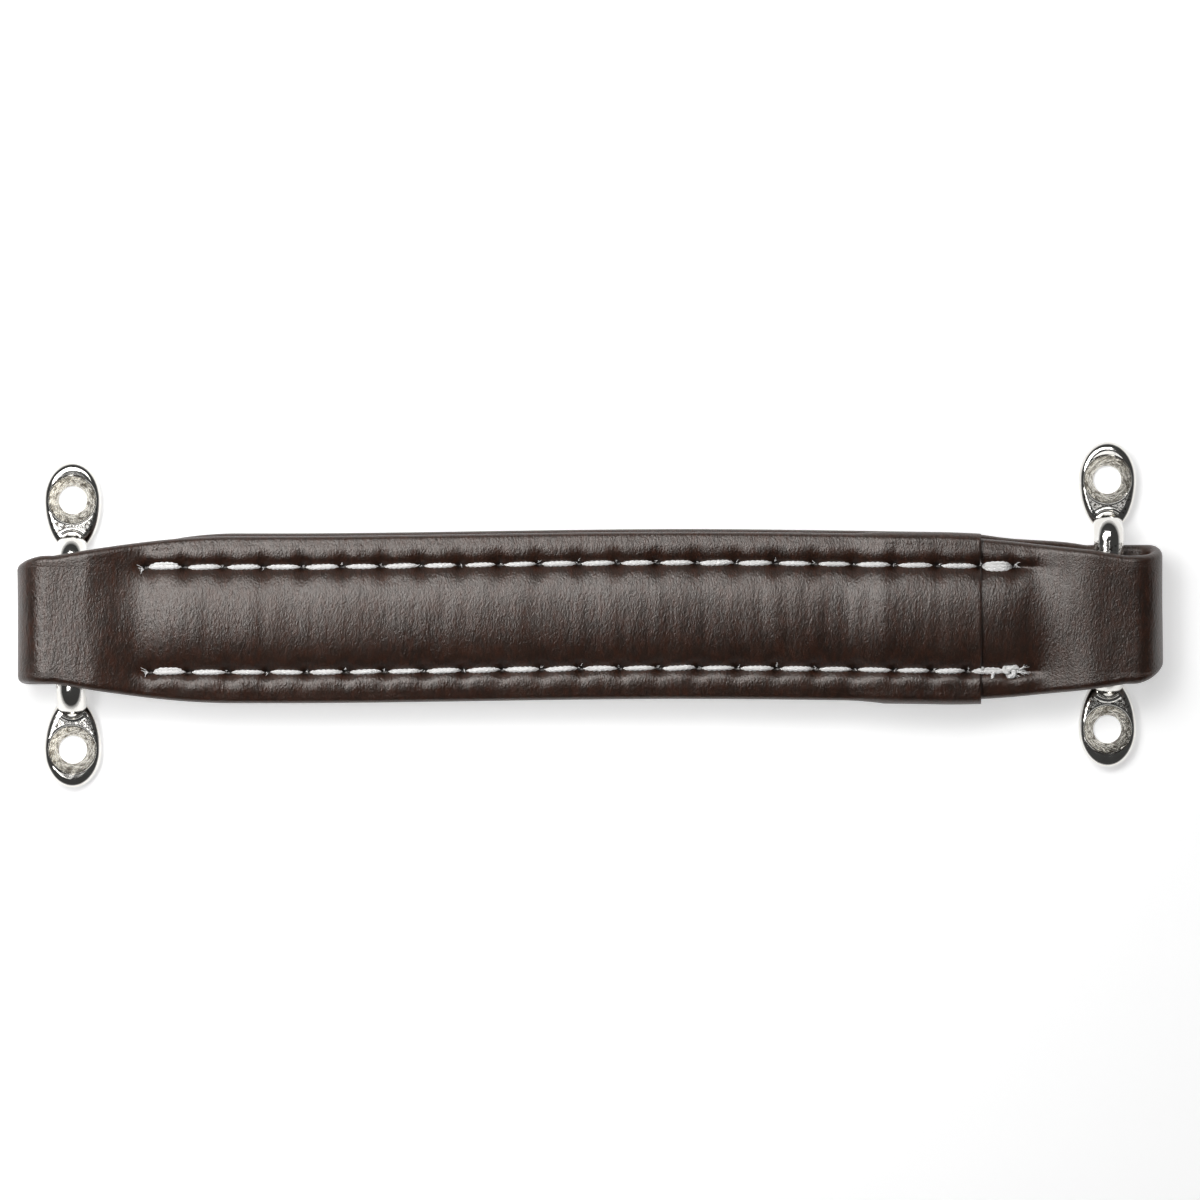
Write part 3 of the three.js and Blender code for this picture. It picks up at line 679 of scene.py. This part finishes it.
def foot_piece(side):
    """An egg-shaped foot with a domed rim, from a disc drawn out unequally at its two ends."""
    clear_selection()
    bpy.ops.mesh.primitive_circle_add(vertices=96, radius=MM, fill_type="NGON")
    foot = bpy.context.active_object
    bpy.ops.object.mode_set(mode="EDIT")
    bpy.ops.mesh.select_all(action="SELECT")
    bpy.ops.transform.resize(value=(FOOT_HALF_WIDTH, 1, 1))
    select_vertices(foot, lambda co: co.y > NEAR_ZERO)
    bpy.ops.transform.resize(value=(1, FOOT_REACH, 1), center_override=(0, 0, 0))
    select_vertices(foot, lambda co: co.y < -NEAR_ZERO)
    bpy.ops.transform.resize(value=(1, FOOT_BACK_REACH, 1), center_override=(0, 0, 0))
    bpy.ops.mesh.select_all(action="SELECT")
    draw_on(FOOT_WALL, 1, (0, 0, 0))
    angles = np.radians(np.linspace(0, 90, CURVE_STEPS + 1))
    heights = (FOOT_THICKNESS - FOOT_WALL) * np.sin(angles)
    widths = 1 - (1 - FOOT_TOP_SHARE) * (1 - np.cos(angles))
    for rise, shrink in zip(np.diff(heights), widths[1:] / widths[:-1]):
        draw_on(rise, shrink, (0, 0, 0))
    bpy.ops.mesh.select_all(action="SELECT")
    bpy.ops.mesh.normals_make_consistent(inside=False)
    if side < 0:
        bpy.ops.transform.resize(value=(1, -1, 1), center_override=(0, 0, 0))
        bpy.ops.mesh.normals_make_consistent(inside=False)
    bpy.ops.transform.translate(value=(0, side * HOLE_Y * MM, 0))
    bpy.ops.object.mode_set(mode="OBJECT")
    return foot


def cutter_piece(side):
    """The screw hole with its countersink, as the body that is cut away."""
    clear_selection()
    bpy.ops.mesh.primitive_cylinder_add(
        vertices=64,
        radius=HOLE_RADIUS * MM,
        depth=(COUNTERSINK_LAND + CUT_PAST) * MM,
        location=(0, side * HOLE_Y * MM, (COUNTERSINK_LAND - CUT_PAST) / 2 * MM),
    )
    cutter = bpy.context.active_object
    bpy.ops.object.transform_apply(location=True, rotation=True, scale=True)
    bpy.ops.object.mode_set(mode="EDIT")
    top = COUNTERSINK_LAND * MM
    select_vertices(cutter, lambda co: co.z > top - NEAR_ZERO)
    rings = (
        (COUNTERSINK_LAND, HOLE_RADIUS),
        (FOOT_THICKNESS - LIP_DEPTH, COUNTERSINK_RADIUS - LIP_REACH),
        (FOOT_THICKNESS, COUNTERSINK_RADIUS),
        (FOOT_THICKNESS + CUT_PAST, COUNTERSINK_RADIUS + CUT_WIDER),
    )
    for (low_z, inner), (high_z, outer) in zip(rings, rings[1:]):
        draw_on(high_z - low_z, outer / inner, (0, side * HOLE_Y * MM, 0))
    bpy.ops.object.mode_set(mode="OBJECT")
    return cutter


def boolean(piece, other, operation):
    """Joins, cuts or intersects a piece with another one, which is used up."""
    pick(piece)
    modifier = piece.modifiers.new("boolean", "BOOLEAN")
    modifier.object = other
    modifier.operation = operation
    modifier.solver = "EXACT"
    bpy.ops.object.modifier_apply(modifier="boolean")
    bpy.data.objects.remove(other)


def fillet_piece(side):
    """The hollow flare by which a leg grows out of the top of its foot, kept to that top."""
    clear_selection()
    middle = side * LEG_Y * MM
    start_z = FOOT_THICKNESS - FILLET_SUNK
    reach = ROD_RADIUS + FILLET_REACH
    bpy.ops.mesh.primitive_circle_add(
        vertices=64, radius=reach * MM, fill_type="NGON", location=(0, middle, start_z * MM)
    )
    fillet = bpy.context.active_object
    bpy.ops.object.transform_apply(location=True, rotation=True, scale=True)
    bpy.ops.object.mode_set(mode="EDIT")
    bpy.ops.mesh.select_all(action="SELECT")
    angles = np.radians(np.linspace(0, 90, CURVE_STEPS))
    radii = ROD_RADIUS - OVERLAP + (FILLET_REACH + OVERLAP) * (1 - np.sin(angles))
    heights = FOOT_THICKNESS - HAIR + FILLET_RISE * (1 - np.cos(angles))
    rises = np.diff(heights, prepend=start_z)
    for rise, wider in zip(rises, radii / np.concatenate([[reach], radii[:-1]])):
        draw_on(rise, wider, (0, middle, 0))
    bpy.ops.mesh.select_all(action="SELECT")
    bpy.ops.mesh.normals_make_consistent(inside=False)
    bpy.ops.object.mode_set(mode="OBJECT")
    top = foot_piece(side)
    bpy.ops.object.mode_set(mode="EDIT")
    bpy.ops.mesh.select_all(action="SELECT")
    foot_top = (0, side * HOLE_Y * MM, 0)
    share = FOOT_TOP_SHARE + HAIR
    bpy.ops.transform.resize(value=(share, share, 3), center_override=foot_top)
    bpy.ops.object.mode_set(mode="OBJECT")
    boolean(fillet, top, "INTERSECT")
    return fillet


def make_bracket(name, side):
    """A rod with its feet, their flares and their screw holes, at one end of the strap."""
    bracket = rod_piece()
    for foot_side in (1, -1):
        boolean(bracket, foot_piece(foot_side), "UNION")
        boolean(bracket, fillet_piece(foot_side), "UNION")
    for foot_side in (1, -1):
        boolean(bracket, cutter_piece(foot_side), "DIFFERENCE")
    pick(bracket)
    bpy.ops.object.mode_set(mode="EDIT")
    bpy.ops.mesh.select_all(action="SELECT")
    bpy.ops.mesh.remove_doubles(threshold=1e-6)
    bpy.ops.transform.translate(value=(side * ROD_X * MM, side * BRACKET_LEAN_Y * MM, 0))
    bpy.ops.object.mode_set(mode="OBJECT")
    bpy.ops.object.shade_smooth_by_angle(angle=math.radians(32))
    weighted = bracket.modifiers.new("flat faces", "WEIGHTED_NORMAL")
    weighted.keep_sharp = True
    bpy.ops.object.modifier_apply(modifier="flat faces")
    bracket.name = name
    return bracket


# Inner pieces

PAD_FADE_X = 86
PAD_FULL_X = 70


def make_band():
    """The reinforcing band that lies under the cover all the way round."""
    st = way_round(2.0, 1.2, LAP_RISE_X, UNDER_LAP_END_X, bend_steps=20)
    halves = []
    for side in (1, -1):
        lines = lines_of(st, side)
        row = lines[1]
        y = np.hstack([row - BAND_PAST_ROW, row * 0.7, row * 0.35])
        face, _ = face_height(st, side, y, lines)
        halves.append((y, face - COVER_THICKNESS - LAYER_GAP))
    middle = middle_height(st) - COVER_THICKNESS - LAYER_GAP
    none = np.zeros_like(middle)
    (py, pn), (my, mn) = halves
    y = np.hstack([py, none, -my[:, ::-1], -my, none, py[:, ::-1]])
    top = np.hstack([pn, middle, mn[:, ::-1]])
    under = np.hstack([mn, middle, pn[:, ::-1]]) - COVER_THICKNESS
    n = np.hstack([top, under])
    points = placed(st, y, n)
    return ring_mesh("inner_band", points, path_lengths(points), ring_girth(points))


def make_pad():
    """The felt filler, from a slab drawn out to the pad's box, crowned and softened."""
    low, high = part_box("core_pad")
    clear_selection()
    middle = [(a + b) / 2 for a, b in zip(low, high)]
    bpy.ops.mesh.primitive_cube_add(size=1, location=middle)
    pad = bpy.context.active_object
    pad.dimensions = [b - a for a, b in zip(low, high)]
    bpy.ops.object.transform_apply(location=True, rotation=True, scale=True)
    bpy.ops.object.mode_set(mode="EDIT")
    bpy.ops.mesh.select_all(action="SELECT")
    bpy.ops.mesh.subdivide(number_cuts=30)
    bpy.ops.object.mode_set(mode="OBJECT")
    half_y = (high[1] - low[1]) / 2
    for vertex in pad.data.vertices:
        across = (vertex.co.y - middle[1]) / half_y
        end = smooth((PAD_FADE_X - abs(vertex.co.x / MM)) / (PAD_FADE_X - PAD_FULL_X))
        swell = 0.22 + 0.74 * max(0, 1 - across * across) * float(mix(0.5, 1.0, end))
        vertex.co.z = middle[2] + (vertex.co.z - middle[2]) * swell
    pick(pad)
    bpy.ops.object.shade_smooth()
    pad.name = "felt_filler"
    return pad


# Materials

DYE_DARK = (0.016, 0.0062, 0.0028, 1)
DYE_LIGHT = (0.026, 0.0102, 0.0046, 1)
DYE_RED = (0.068, 0.0175, 0.0055, 1)
# Painted shade in the valleys of the vinyl's wrinkles
PAINTED_CRACK_SHADE = (0.006, 0.0032, 0.0024, 1)
# Painted shade in and round the needle holes
PAINTED_HOLE_SHADE = (0.004, 0.0025, 0.002, 1)
VINYL_SHEEN = (1, 0.95, 0.91, 1)
THREAD_SHADE = (0.9, 0.89, 0.87, 1)
THREAD_LIGHT = (0.985, 0.98, 0.97, 1)
THREAD_GRIME = (0.6, 0.56, 0.5, 1)
PLATE_DULL = (0.76, 0.74, 0.7, 1)
PLATE_BRIGHT = (0.86, 0.85, 0.82, 1)
CAST_STAIN = (0.2, 0.18, 0.15, 1)
CAST_BARE = (0.68, 0.66, 0.61, 1)
PIT_DARK = (0.14, 0.12, 0.1, 1)
WEBBING_DARK = (0.03, 0.022, 0.018, 1)
WEBBING_LIGHT = (0.09, 0.07, 0.055, 1)
FELT_DARK = (0.3, 0.27, 0.22, 1)
FELT_LIGHT = (0.55, 0.5, 0.43, 1)


def add(tree, kind, inputs=None, **settings):
    """A node with its settings and its inputs, each a value or a socket to link from."""
    node = tree.nodes.new(kind)
    for name, value in settings.items():
        setattr(node, name, value)
    for name, value in (inputs or {}).items():
        if isinstance(value, bpy.types.NodeSocket):
            tree.links.new(value, node.inputs[name])
        else:
            node.inputs[name].default_value = value
    return node


def math_node(tree, operation, *values):
    """The result of an operation on values or sockets."""
    node = add(tree, "ShaderNodeMath", dict(enumerate(values)), operation=operation)
    return node.outputs[0]


def mix_colour(tree, share, first, second):
    """The first colour where the share is 0, the second where it is 1."""
    node = add(tree, "ShaderNodeMix", {0: share, 6: first, 7: second}, data_type="RGBA")
    return node.outputs[2]


def between(tree, value, low, high, low_to=0.0, high_to=1.0):
    """The value's range from low to high, spread over low_to to high_to and held at both."""
    names = ("Value", "From Min", "From Max", "To Min", "To Max")
    inputs = dict(zip(names, (value, low, high, low_to, high_to)))
    return add(tree, "ShaderNodeMapRange", inputs).outputs[0]


def stretched(tree, vector, scale, turn=0):
    """The vector scaled, and turned about Z by some degrees."""
    inputs = {"Vector": vector, "Rotation": (0, 0, math.radians(turn)), "Scale": scale}
    return add(tree, "ShaderNodeMapping", inputs).outputs[0]


def noise_fac(tree, vector, scale, detail):
    """A smooth noise from 0 to 1."""
    inputs = {"Vector": vector, "Scale": scale, "Detail": detail}
    return add(tree, "ShaderNodeTexNoise", inputs).outputs["Fac"]


def make_patches_group():
    """Cloudy patches as a mask, for wear, colour and cast unevenness."""
    group = bpy.data.node_groups.new("patches", "ShaderNodeTree")
    for name, kind in (
        ("Vector", "NodeSocketVector"),
        ("Scale", "NodeSocketFloat"),
        ("Low", "NodeSocketFloat"),
        ("High", "NodeSocketFloat"),
    ):
        group.interface.new_socket(name, in_out="INPUT", socket_type=kind)
    group.interface.new_socket("Mask", in_out="OUTPUT", socket_type="NodeSocketFloat")
    source = add(group, "NodeGroupInput").outputs
    cloud = noise_fac(group, source["Vector"], source["Scale"], 4.0)
    mask = between(group, cloud, source["Low"], source["High"])
    add(group, "NodeGroupOutput", {"Mask": mask})
    return group


PATCHES = make_patches_group()


def patches(tree, vector, scale, low, high):
    """The mask of cloudy patches, 0 where their noise is under low and 1 where it is over high."""
    inputs = {"Vector": vector, "Scale": scale, "Low": low, "High": high}
    return add(tree, "ShaderNodeGroup", inputs, node_tree=PATCHES).outputs["Mask"]


def bumped(tree, shader, height, strength, distance):
    """Makes the surface stand out by the height, through a bump node."""
    inputs = {"Strength": strength, "Distance": distance, "Height": height}
    bump = add(tree, "ShaderNodeBump", inputs)
    tree.links.new(bump.outputs[0], shader.inputs["Normal"])
    return bump


def new_material(name):
    material = bpy.data.materials.new(name)
    material.use_nodes = True
    tree = material.node_tree
    return material, tree, tree.nodes["Principled BSDF"]


def uv_in_mm(tree):
    uv = add(tree, "ShaderNodeUVMap", uv_map="along").outputs[0]
    return stretched(tree, uv, (1000, 1000, 1000))


def object_in_mm(tree):
    coords = add(tree, "ShaderNodeTexCoord").outputs["Object"]
    return stretched(tree, coords, (1000, 1000, 1000))


def warped_by(tree, vector, scale, reach):
    """The vector pushed about by a slow noise, by up to about reach."""
    inputs = {"Vector": vector, "Scale": scale, "Detail": 2.0}
    slow = add(tree, "ShaderNodeTexNoise", inputs).outputs["Color"]
    factors = {0: slow, 1: (2 * reach, 2 * reach, 0.0)}
    push = add(tree, "ShaderNodeVectorMath", factors, operation="MULTIPLY").outputs[0]
    return add(tree, "ShaderNodeVectorMath", {0: vector, 1: push}, operation="ADD").outputs[0]


def cell_edges(tree, vector, width):
    """0 along the borders of a net of cells, 1 inside them."""
    inputs = {"Vector": vector, "Scale": 1.0}
    cells = add(tree, "ShaderNodeTexVoronoi", inputs, feature="DISTANCE_TO_EDGE")
    return between(tree, cells.outputs["Distance"], 0.0, width)


def weighted_sum(tree, *terms):
    """The sum of pairs of a weight and a value."""
    total = 0.0
    for weight, value in terms:
        total = math_node(tree, "ADD", total, math_node(tree, "MULTIPLY", value, weight))
    return total


def vinyl_material():
    """Dark brown vinyl with a leather grain, wrinkled across the strap, with painted shade in the
    valleys of its wrinkles and round its needle holes.
    """
    material, tree, shader = new_material("brown_vinyl")
    place = uv_in_mm(tree)
    solid = object_in_mm(tree)
    waved = warped_by(tree, place, 0.5, 0.3)
    pebble = cell_edges(tree, stretched(tree, waved, (1.9, 1.1, 1)), 0.35)
    wrinkles = noise_fac(tree, stretched(tree, waved, (2.0, 0.85, 1)), 1.0, 1.6)
    fine = noise_fac(tree, stretched(tree, place, (3.2, 2.2, 1)), 1.0, 2.0)
    creases = noise_fac(tree, stretched(tree, waved, (0.9, 0.26, 1), turn=-28), 1.0, 1.0)
    creased = patches(tree, solid, 0.05, 0.42, 0.6)
    creases = math_node(tree, "MULTIPLY", creases, weighted_sum(tree, (0.6, creased), (1.0, 0.35)))
    height = weighted_sum(tree, (0.2, pebble), (0.7, wrinkles), (0.34, fine), (0.7, creases))
    bumped(tree, shader, height, 0.95, 0.00013)

    cloudy = patches(tree, solid, 0.11, 0.3, 0.7)
    speckle = patches(tree, stretched(tree, solid, (1.6, 0.5, 1)), 0.7, 0.4, 0.75)
    dye_and_shade = mix_colour(tree, cloudy, DYE_DARK, DYE_LIGHT)
    reddish = math_node(tree, "MULTIPLY", speckle, 0.55)
    dye_and_shade = mix_colour(tree, reddish, dye_and_shade, DYE_RED)
    # Painted shade in the valleys of the wrinkles, where the grain's height is low
    painted_crack_shade = math_node(tree, "MULTIPLY", between(tree, wrinkles, 0.42, 0.3), 0.45)
    dye_and_shade = mix_colour(tree, painted_crack_shade, dye_and_shade, PAINTED_CRACK_SHADE)
    # Painted shade round the needle holes, from the nearness to a hole kept in the attribute seam
    seam = add(tree, "ShaderNodeAttribute", attribute_name="seam")
    painted_hole_shade = between(tree, seam.outputs["Fac"], 0.12, 0.7)
    dye_and_shade = mix_colour(tree, painted_hole_shade, dye_and_shade, PAINTED_HOLE_SHADE)
    tree.links.new(dye_and_shade, shader.inputs["Base Color"])
    rough = weighted_sum(tree, (1.0, between(tree, fine, 0.3, 0.7, 0.29, 0.4)), (0.05, cloudy))
    tree.links.new(rough, shader.inputs["Roughness"])
    shader.inputs["Specular IOR Level"].default_value = 0.9
    shader.inputs["Specular Tint"].default_value = VINYL_SHEEN
    return material


def thread_material():
    """Thick off-white thread, fuzzy and a little grimy."""
    material, tree, shader = new_material("stitching_thread")
    place = uv_in_mm(tree)
    fibres = noise_fac(tree, stretched(tree, place, (2.2, 7.0, 1)), 1.0, 4.0)
    lit = between(tree, fibres, 0.3, 0.6)
    shade = mix_colour(tree, lit, THREAD_SHADE, THREAD_LIGHT)
    grime = math_node(tree, "MULTIPLY", patches(tree, place, 0.35, 0.45, 0.75), 0.15)
    shade = mix_colour(tree, grime, shade, THREAD_GRIME)
    tree.links.new(shade, shader.inputs["Base Color"])
    bumped(tree, shader, fibres, 0.8, 0.00012)
    shader.inputs["Roughness"].default_value = 0.85
    shader.inputs["Sheen Weight"].default_value = 0.3
    return material


def foot_marks(tree, solid):
    """Where the casting stays rough: in the countersinks, and on the feet round the legs."""
    place = add(tree, "ShaderNodeSeparateXYZ", {0: solid}).outputs
    lean = math_node(tree, "MULTIPLY", math_node(tree, "SIGN", place["X"]), BRACKET_LEAN_Y)
    out = math_node(tree, "ABSOLUTE", math_node(tree, "SUBTRACT", place["Y"], lean))
    aside = math_node(tree, "SUBTRACT", math_node(tree, "ABSOLUTE", place["X"]), ROD_X)

    def distance_from(y):
        away_y = math_node(tree, "SUBTRACT", out, y)
        squares = (math_node(tree, "MULTIPLY", part, part) for part in (aside, away_y))
        return math_node(tree, "SQRT", math_node(tree, "ADD", *squares))

    from_hole = distance_from(HOLE_Y)
    sink = COUNTERSINK_RADIUS - LIP_REACH
    in_sink = between(tree, from_hole, sink, sink - 0.12)
    outside = between(tree, from_hole, COUNTERSINK_RADIUS, COUNTERSINK_RADIUS + 0.15)
    off_leg = ROD_RADIUS + FILLET_REACH
    beside_leg = between(tree, distance_from(LEG_Y), off_leg, off_leg + 0.3)
    inboard = between(tree, out, HOLE_Y - 0.8, HOLE_Y - 2.2)
    on_top = between(tree, place["Z"], FOOT_THICKNESS - 0.3, FOOT_THICKNESS - 0.15)
    nook = math_node(tree, "MULTIPLY", outside, beside_leg)
    nook = math_node(tree, "MULTIPLY", nook, inboard)
    return in_sink, math_node(tree, "MULTIPLY", nook, on_top)


def nickel_material():
    """Bright nickel plate, with a stained rough casting in the countersinks."""
    material, tree, shader = new_material("nickel_plate")
    solid = object_in_mm(tree)
    in_sink, nook = foot_marks(tree, solid)
    cloudy = patches(tree, solid, 0.35, 0.3, 0.7)
    plate = mix_colour(tree, cloudy, PLATE_DULL, PLATE_BRIGHT)
    stains = patches(tree, solid, 0.8, 0.34, 0.54)
    cast = mix_colour(tree, stains, CAST_STAIN, CAST_BARE)
    colour = mix_colour(tree, in_sink, plate, cast)
    pits = math_node(tree, "MULTIPLY", nook, patches(tree, solid, 1.5, 0.5, 0.64))
    colour = mix_colour(tree, pits, colour, PIT_DARK)
    tree.links.new(colour, shader.inputs["Base Color"])
    shader.inputs["Metallic"].default_value = 1.0
    polished = between(tree, cloudy, 0.0, 1.0, 0.07, 0.13)
    rough = weighted_sum(tree, (1.0, polished), (0.1, in_sink), (0.06, nook))
    tree.links.new(rough, shader.inputs["Roughness"])
    grit = noise_fac(tree, solid, 1.6, 4.0)
    grittiness = weighted_sum(tree, (0.9, in_sink), (0.2, nook), (1.0, 0.03))
    ripple = noise_fac(tree, solid, 0.5, 1.0)
    grit = math_node(tree, "MULTIPLY", grit, grittiness)
    bumped(tree, shader, weighted_sum(tree, (1.0, grit), (0.2, ripple)), 0.5, 0.0003)
    return material


def woven_material(name, dark, light, pitch):
    """A woven or felted fabric, its threads crossing at the given pitch in millimetres."""
    material, tree, shader = new_material(name)
    solid = object_in_mm(tree)
    cells = stretched(tree, solid, (1 / pitch, 1 / pitch, 1 / pitch))
    inputs = {"Vector": cells, "Scale": 1.0}
    weave = add(tree, "ShaderNodeTexVoronoi", inputs).outputs["Distance"]
    shade = mix_colour(tree, between(tree, weave, 0.0, 0.7), light, dark)
    tree.links.new(shade, shader.inputs["Base Color"])
    bumped(tree, shader, weave, 0.6, 0.0002).invert = True
    shader.inputs["Roughness"].default_value = 0.9
    return material


def dress(piece, material, body, slot, *nodes):
    """Gives a piece its material and its body, and hides the nodes of the frame it replaces. The
    slot is not used.
    """
    piece.data.materials.clear()
    piece.data.materials.append(material)
    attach(piece, body)
    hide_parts(*nodes)


# Studio

FRAME_WIDTH = 251.3  # millimetres of the object's plane across the whole picture
VIEW_CENTRE = (2.1, 3.07)
CAMERA_HEIGHT = 2000
FLOOR_GLOW = 0.53
WHITE = (1, 1, 1, 1)


def make_camera():
    """A long lens straight above, as the photo was taken."""
    sensor = 36
    data = bpy.data.cameras.new("camera")
    data.sensor_width = sensor
    data.lens = sensor * CAMERA_HEIGHT / FRAME_WIDTH
    camera = bpy.data.objects.new("camera", data)
    bpy.context.collection.objects.link(camera)
    camera.location = [v * MM for v in (*VIEW_CENTRE, MID_Z + CAMERA_HEIGHT)]
    bpy.context.scene.camera = camera


def seen_directly(tree):
    """1 for what the camera sees, itself or in a mirror, and 0 for the light that it casts."""
    paths = add(tree, "ShaderNodeLightPath").outputs
    seen = math_node(tree, "MAXIMUM", paths["Is Camera Ray"], paths["Is Glossy Ray"])
    return math_node(tree, "MAXIMUM", seen, paths["Is Transmission Ray"])


def make_floor():
    """The white sheet, a hair under the feet, that stays white in the picture's far corners."""
    clear_selection()
    bpy.ops.mesh.primitive_plane_add(size=6, location=(0, 0, -0.00002))
    floor = bpy.context.active_object
    floor.name = "floor"
    material, tree, shader = new_material("white_sweep")
    shader.inputs["Base Color"].default_value = (0.8, 0.8, 0.8, 1)
    shader.inputs["Roughness"].default_value = 0.9
    shader.inputs["Specular IOR Level"].default_value = 0.0
    glow = math_node(tree, "MULTIPLY", seen_directly(tree), FLOOR_GLOW)
    shader.inputs["Emission Color"].default_value = WHITE
    tree.links.new(glow, shader.inputs["Emission Strength"])
    floor.data.materials.append(material)


def softbox(name, place, target, size, radiance, spread=180):
    """A rectangular lamp, in metres, with the given radiance along its axis. A spread under 180
    degrees shades it to the sides."""
    data = bpy.data.lights.new(name, "AREA")
    data.shape = "RECTANGLE"
    data.size, data.size_y = size
    data.energy = radiance * math.pi * size[0] * size[1]
    if spread < 180:
        half = math.radians(spread / 2)
        data.spread = 2 * half
        data.energy *= 1 - half / math.tan(half)
    lamp = bpy.data.objects.new(name, data)
    bpy.context.collection.objects.link(lamp)
    lamp.location = place
    lamp.rotation_euler = (Vector(target) - Vector(place)).to_track_quat("-Z", "Y").to_euler()


def make_world():
    """A soft room: white round the horizon, darker overhead where the camera hangs."""
    world = bpy.data.worlds.new("studio")
    bpy.context.scene.world = world
    world.use_nodes = True
    tree = world.node_tree
    background = tree.nodes["Background"]
    direction = add(tree, "ShaderNodeTexCoord").outputs["Generated"]
    height = add(tree, "ShaderNodeSeparateXYZ", {0: direction}).outputs["Z"]
    shade = between(tree, height, 0.05, 0.28, 0.7, 0.05)
    room = between(tree, seen_directly(tree), 0.0, 1.0, 0.75, 1.0)
    strength = math_node(tree, "MULTIPLY", shade, room)
    background.inputs["Color"].default_value = WHITE
    tree.links.new(strength, background.inputs["Strength"])


def make_lights():
    """Three lamps to the upper left, and a faint one over each loop."""
    softbox("key", (-0.27, 0.29, 0.6), (-0.06, 0, 0), (0.44, 0.34), radiance=6.1)
    softbox("side", (0.06, 0.4, 0.6), (0, 0, 0), (0.34, 0.22), radiance=4.2)
    softbox("left", (-0.29, -0.02, 0.6), (-0.08, 0, 0), (0.24, 0.24), radiance=9, spread=46)
    softbox("right card", (0.14, 0.05, 0.7), (0.1, 0.03, 0), (0.06, 0.11), radiance=1.35)
    softbox("left card", (-0.146, 0, 0.7), (-0.1, 0, 0), (0.1, 0.24), radiance=0.17)


make_camera()
make_floor()
make_world()
make_lights()

vinyl = vinyl_material()
thread = thread_material()
nickel = nickel_material()
webbing = woven_material("band_webbing", WEBBING_DARK, WEBBING_LIGHT, pitch=0.9)
felt = woven_material("pad_felt", FELT_DARK, FELT_LIGHT, pitch=0.6)

cover = make_cover()
dress(cover, vinyl, "strap", "vinyl", "strap_cover")
dress(make_band(), webbing, "strap", "webbing", "strap_band")
pad = make_pad()
dress(pad, felt, "strap", "padding", "core_pad")
for row_name in ROWS:
    for level, sense in (("top", 1), ("under", -1)):
        stitches = make_thread(row_name, sense)
        dress(stitches, thread, "strap", "thread", f"{level}_thread_{row_name}")
for end, side in (("left", -1), ("right", 1)):
    bracket = make_bracket(f"{end}_casting", side)
    dress(bracket, nickel, f"{end}_bracket", "nickel", f"bracket_{end}")

bpy.context.scene.view_settings.view_transform = "Standard"
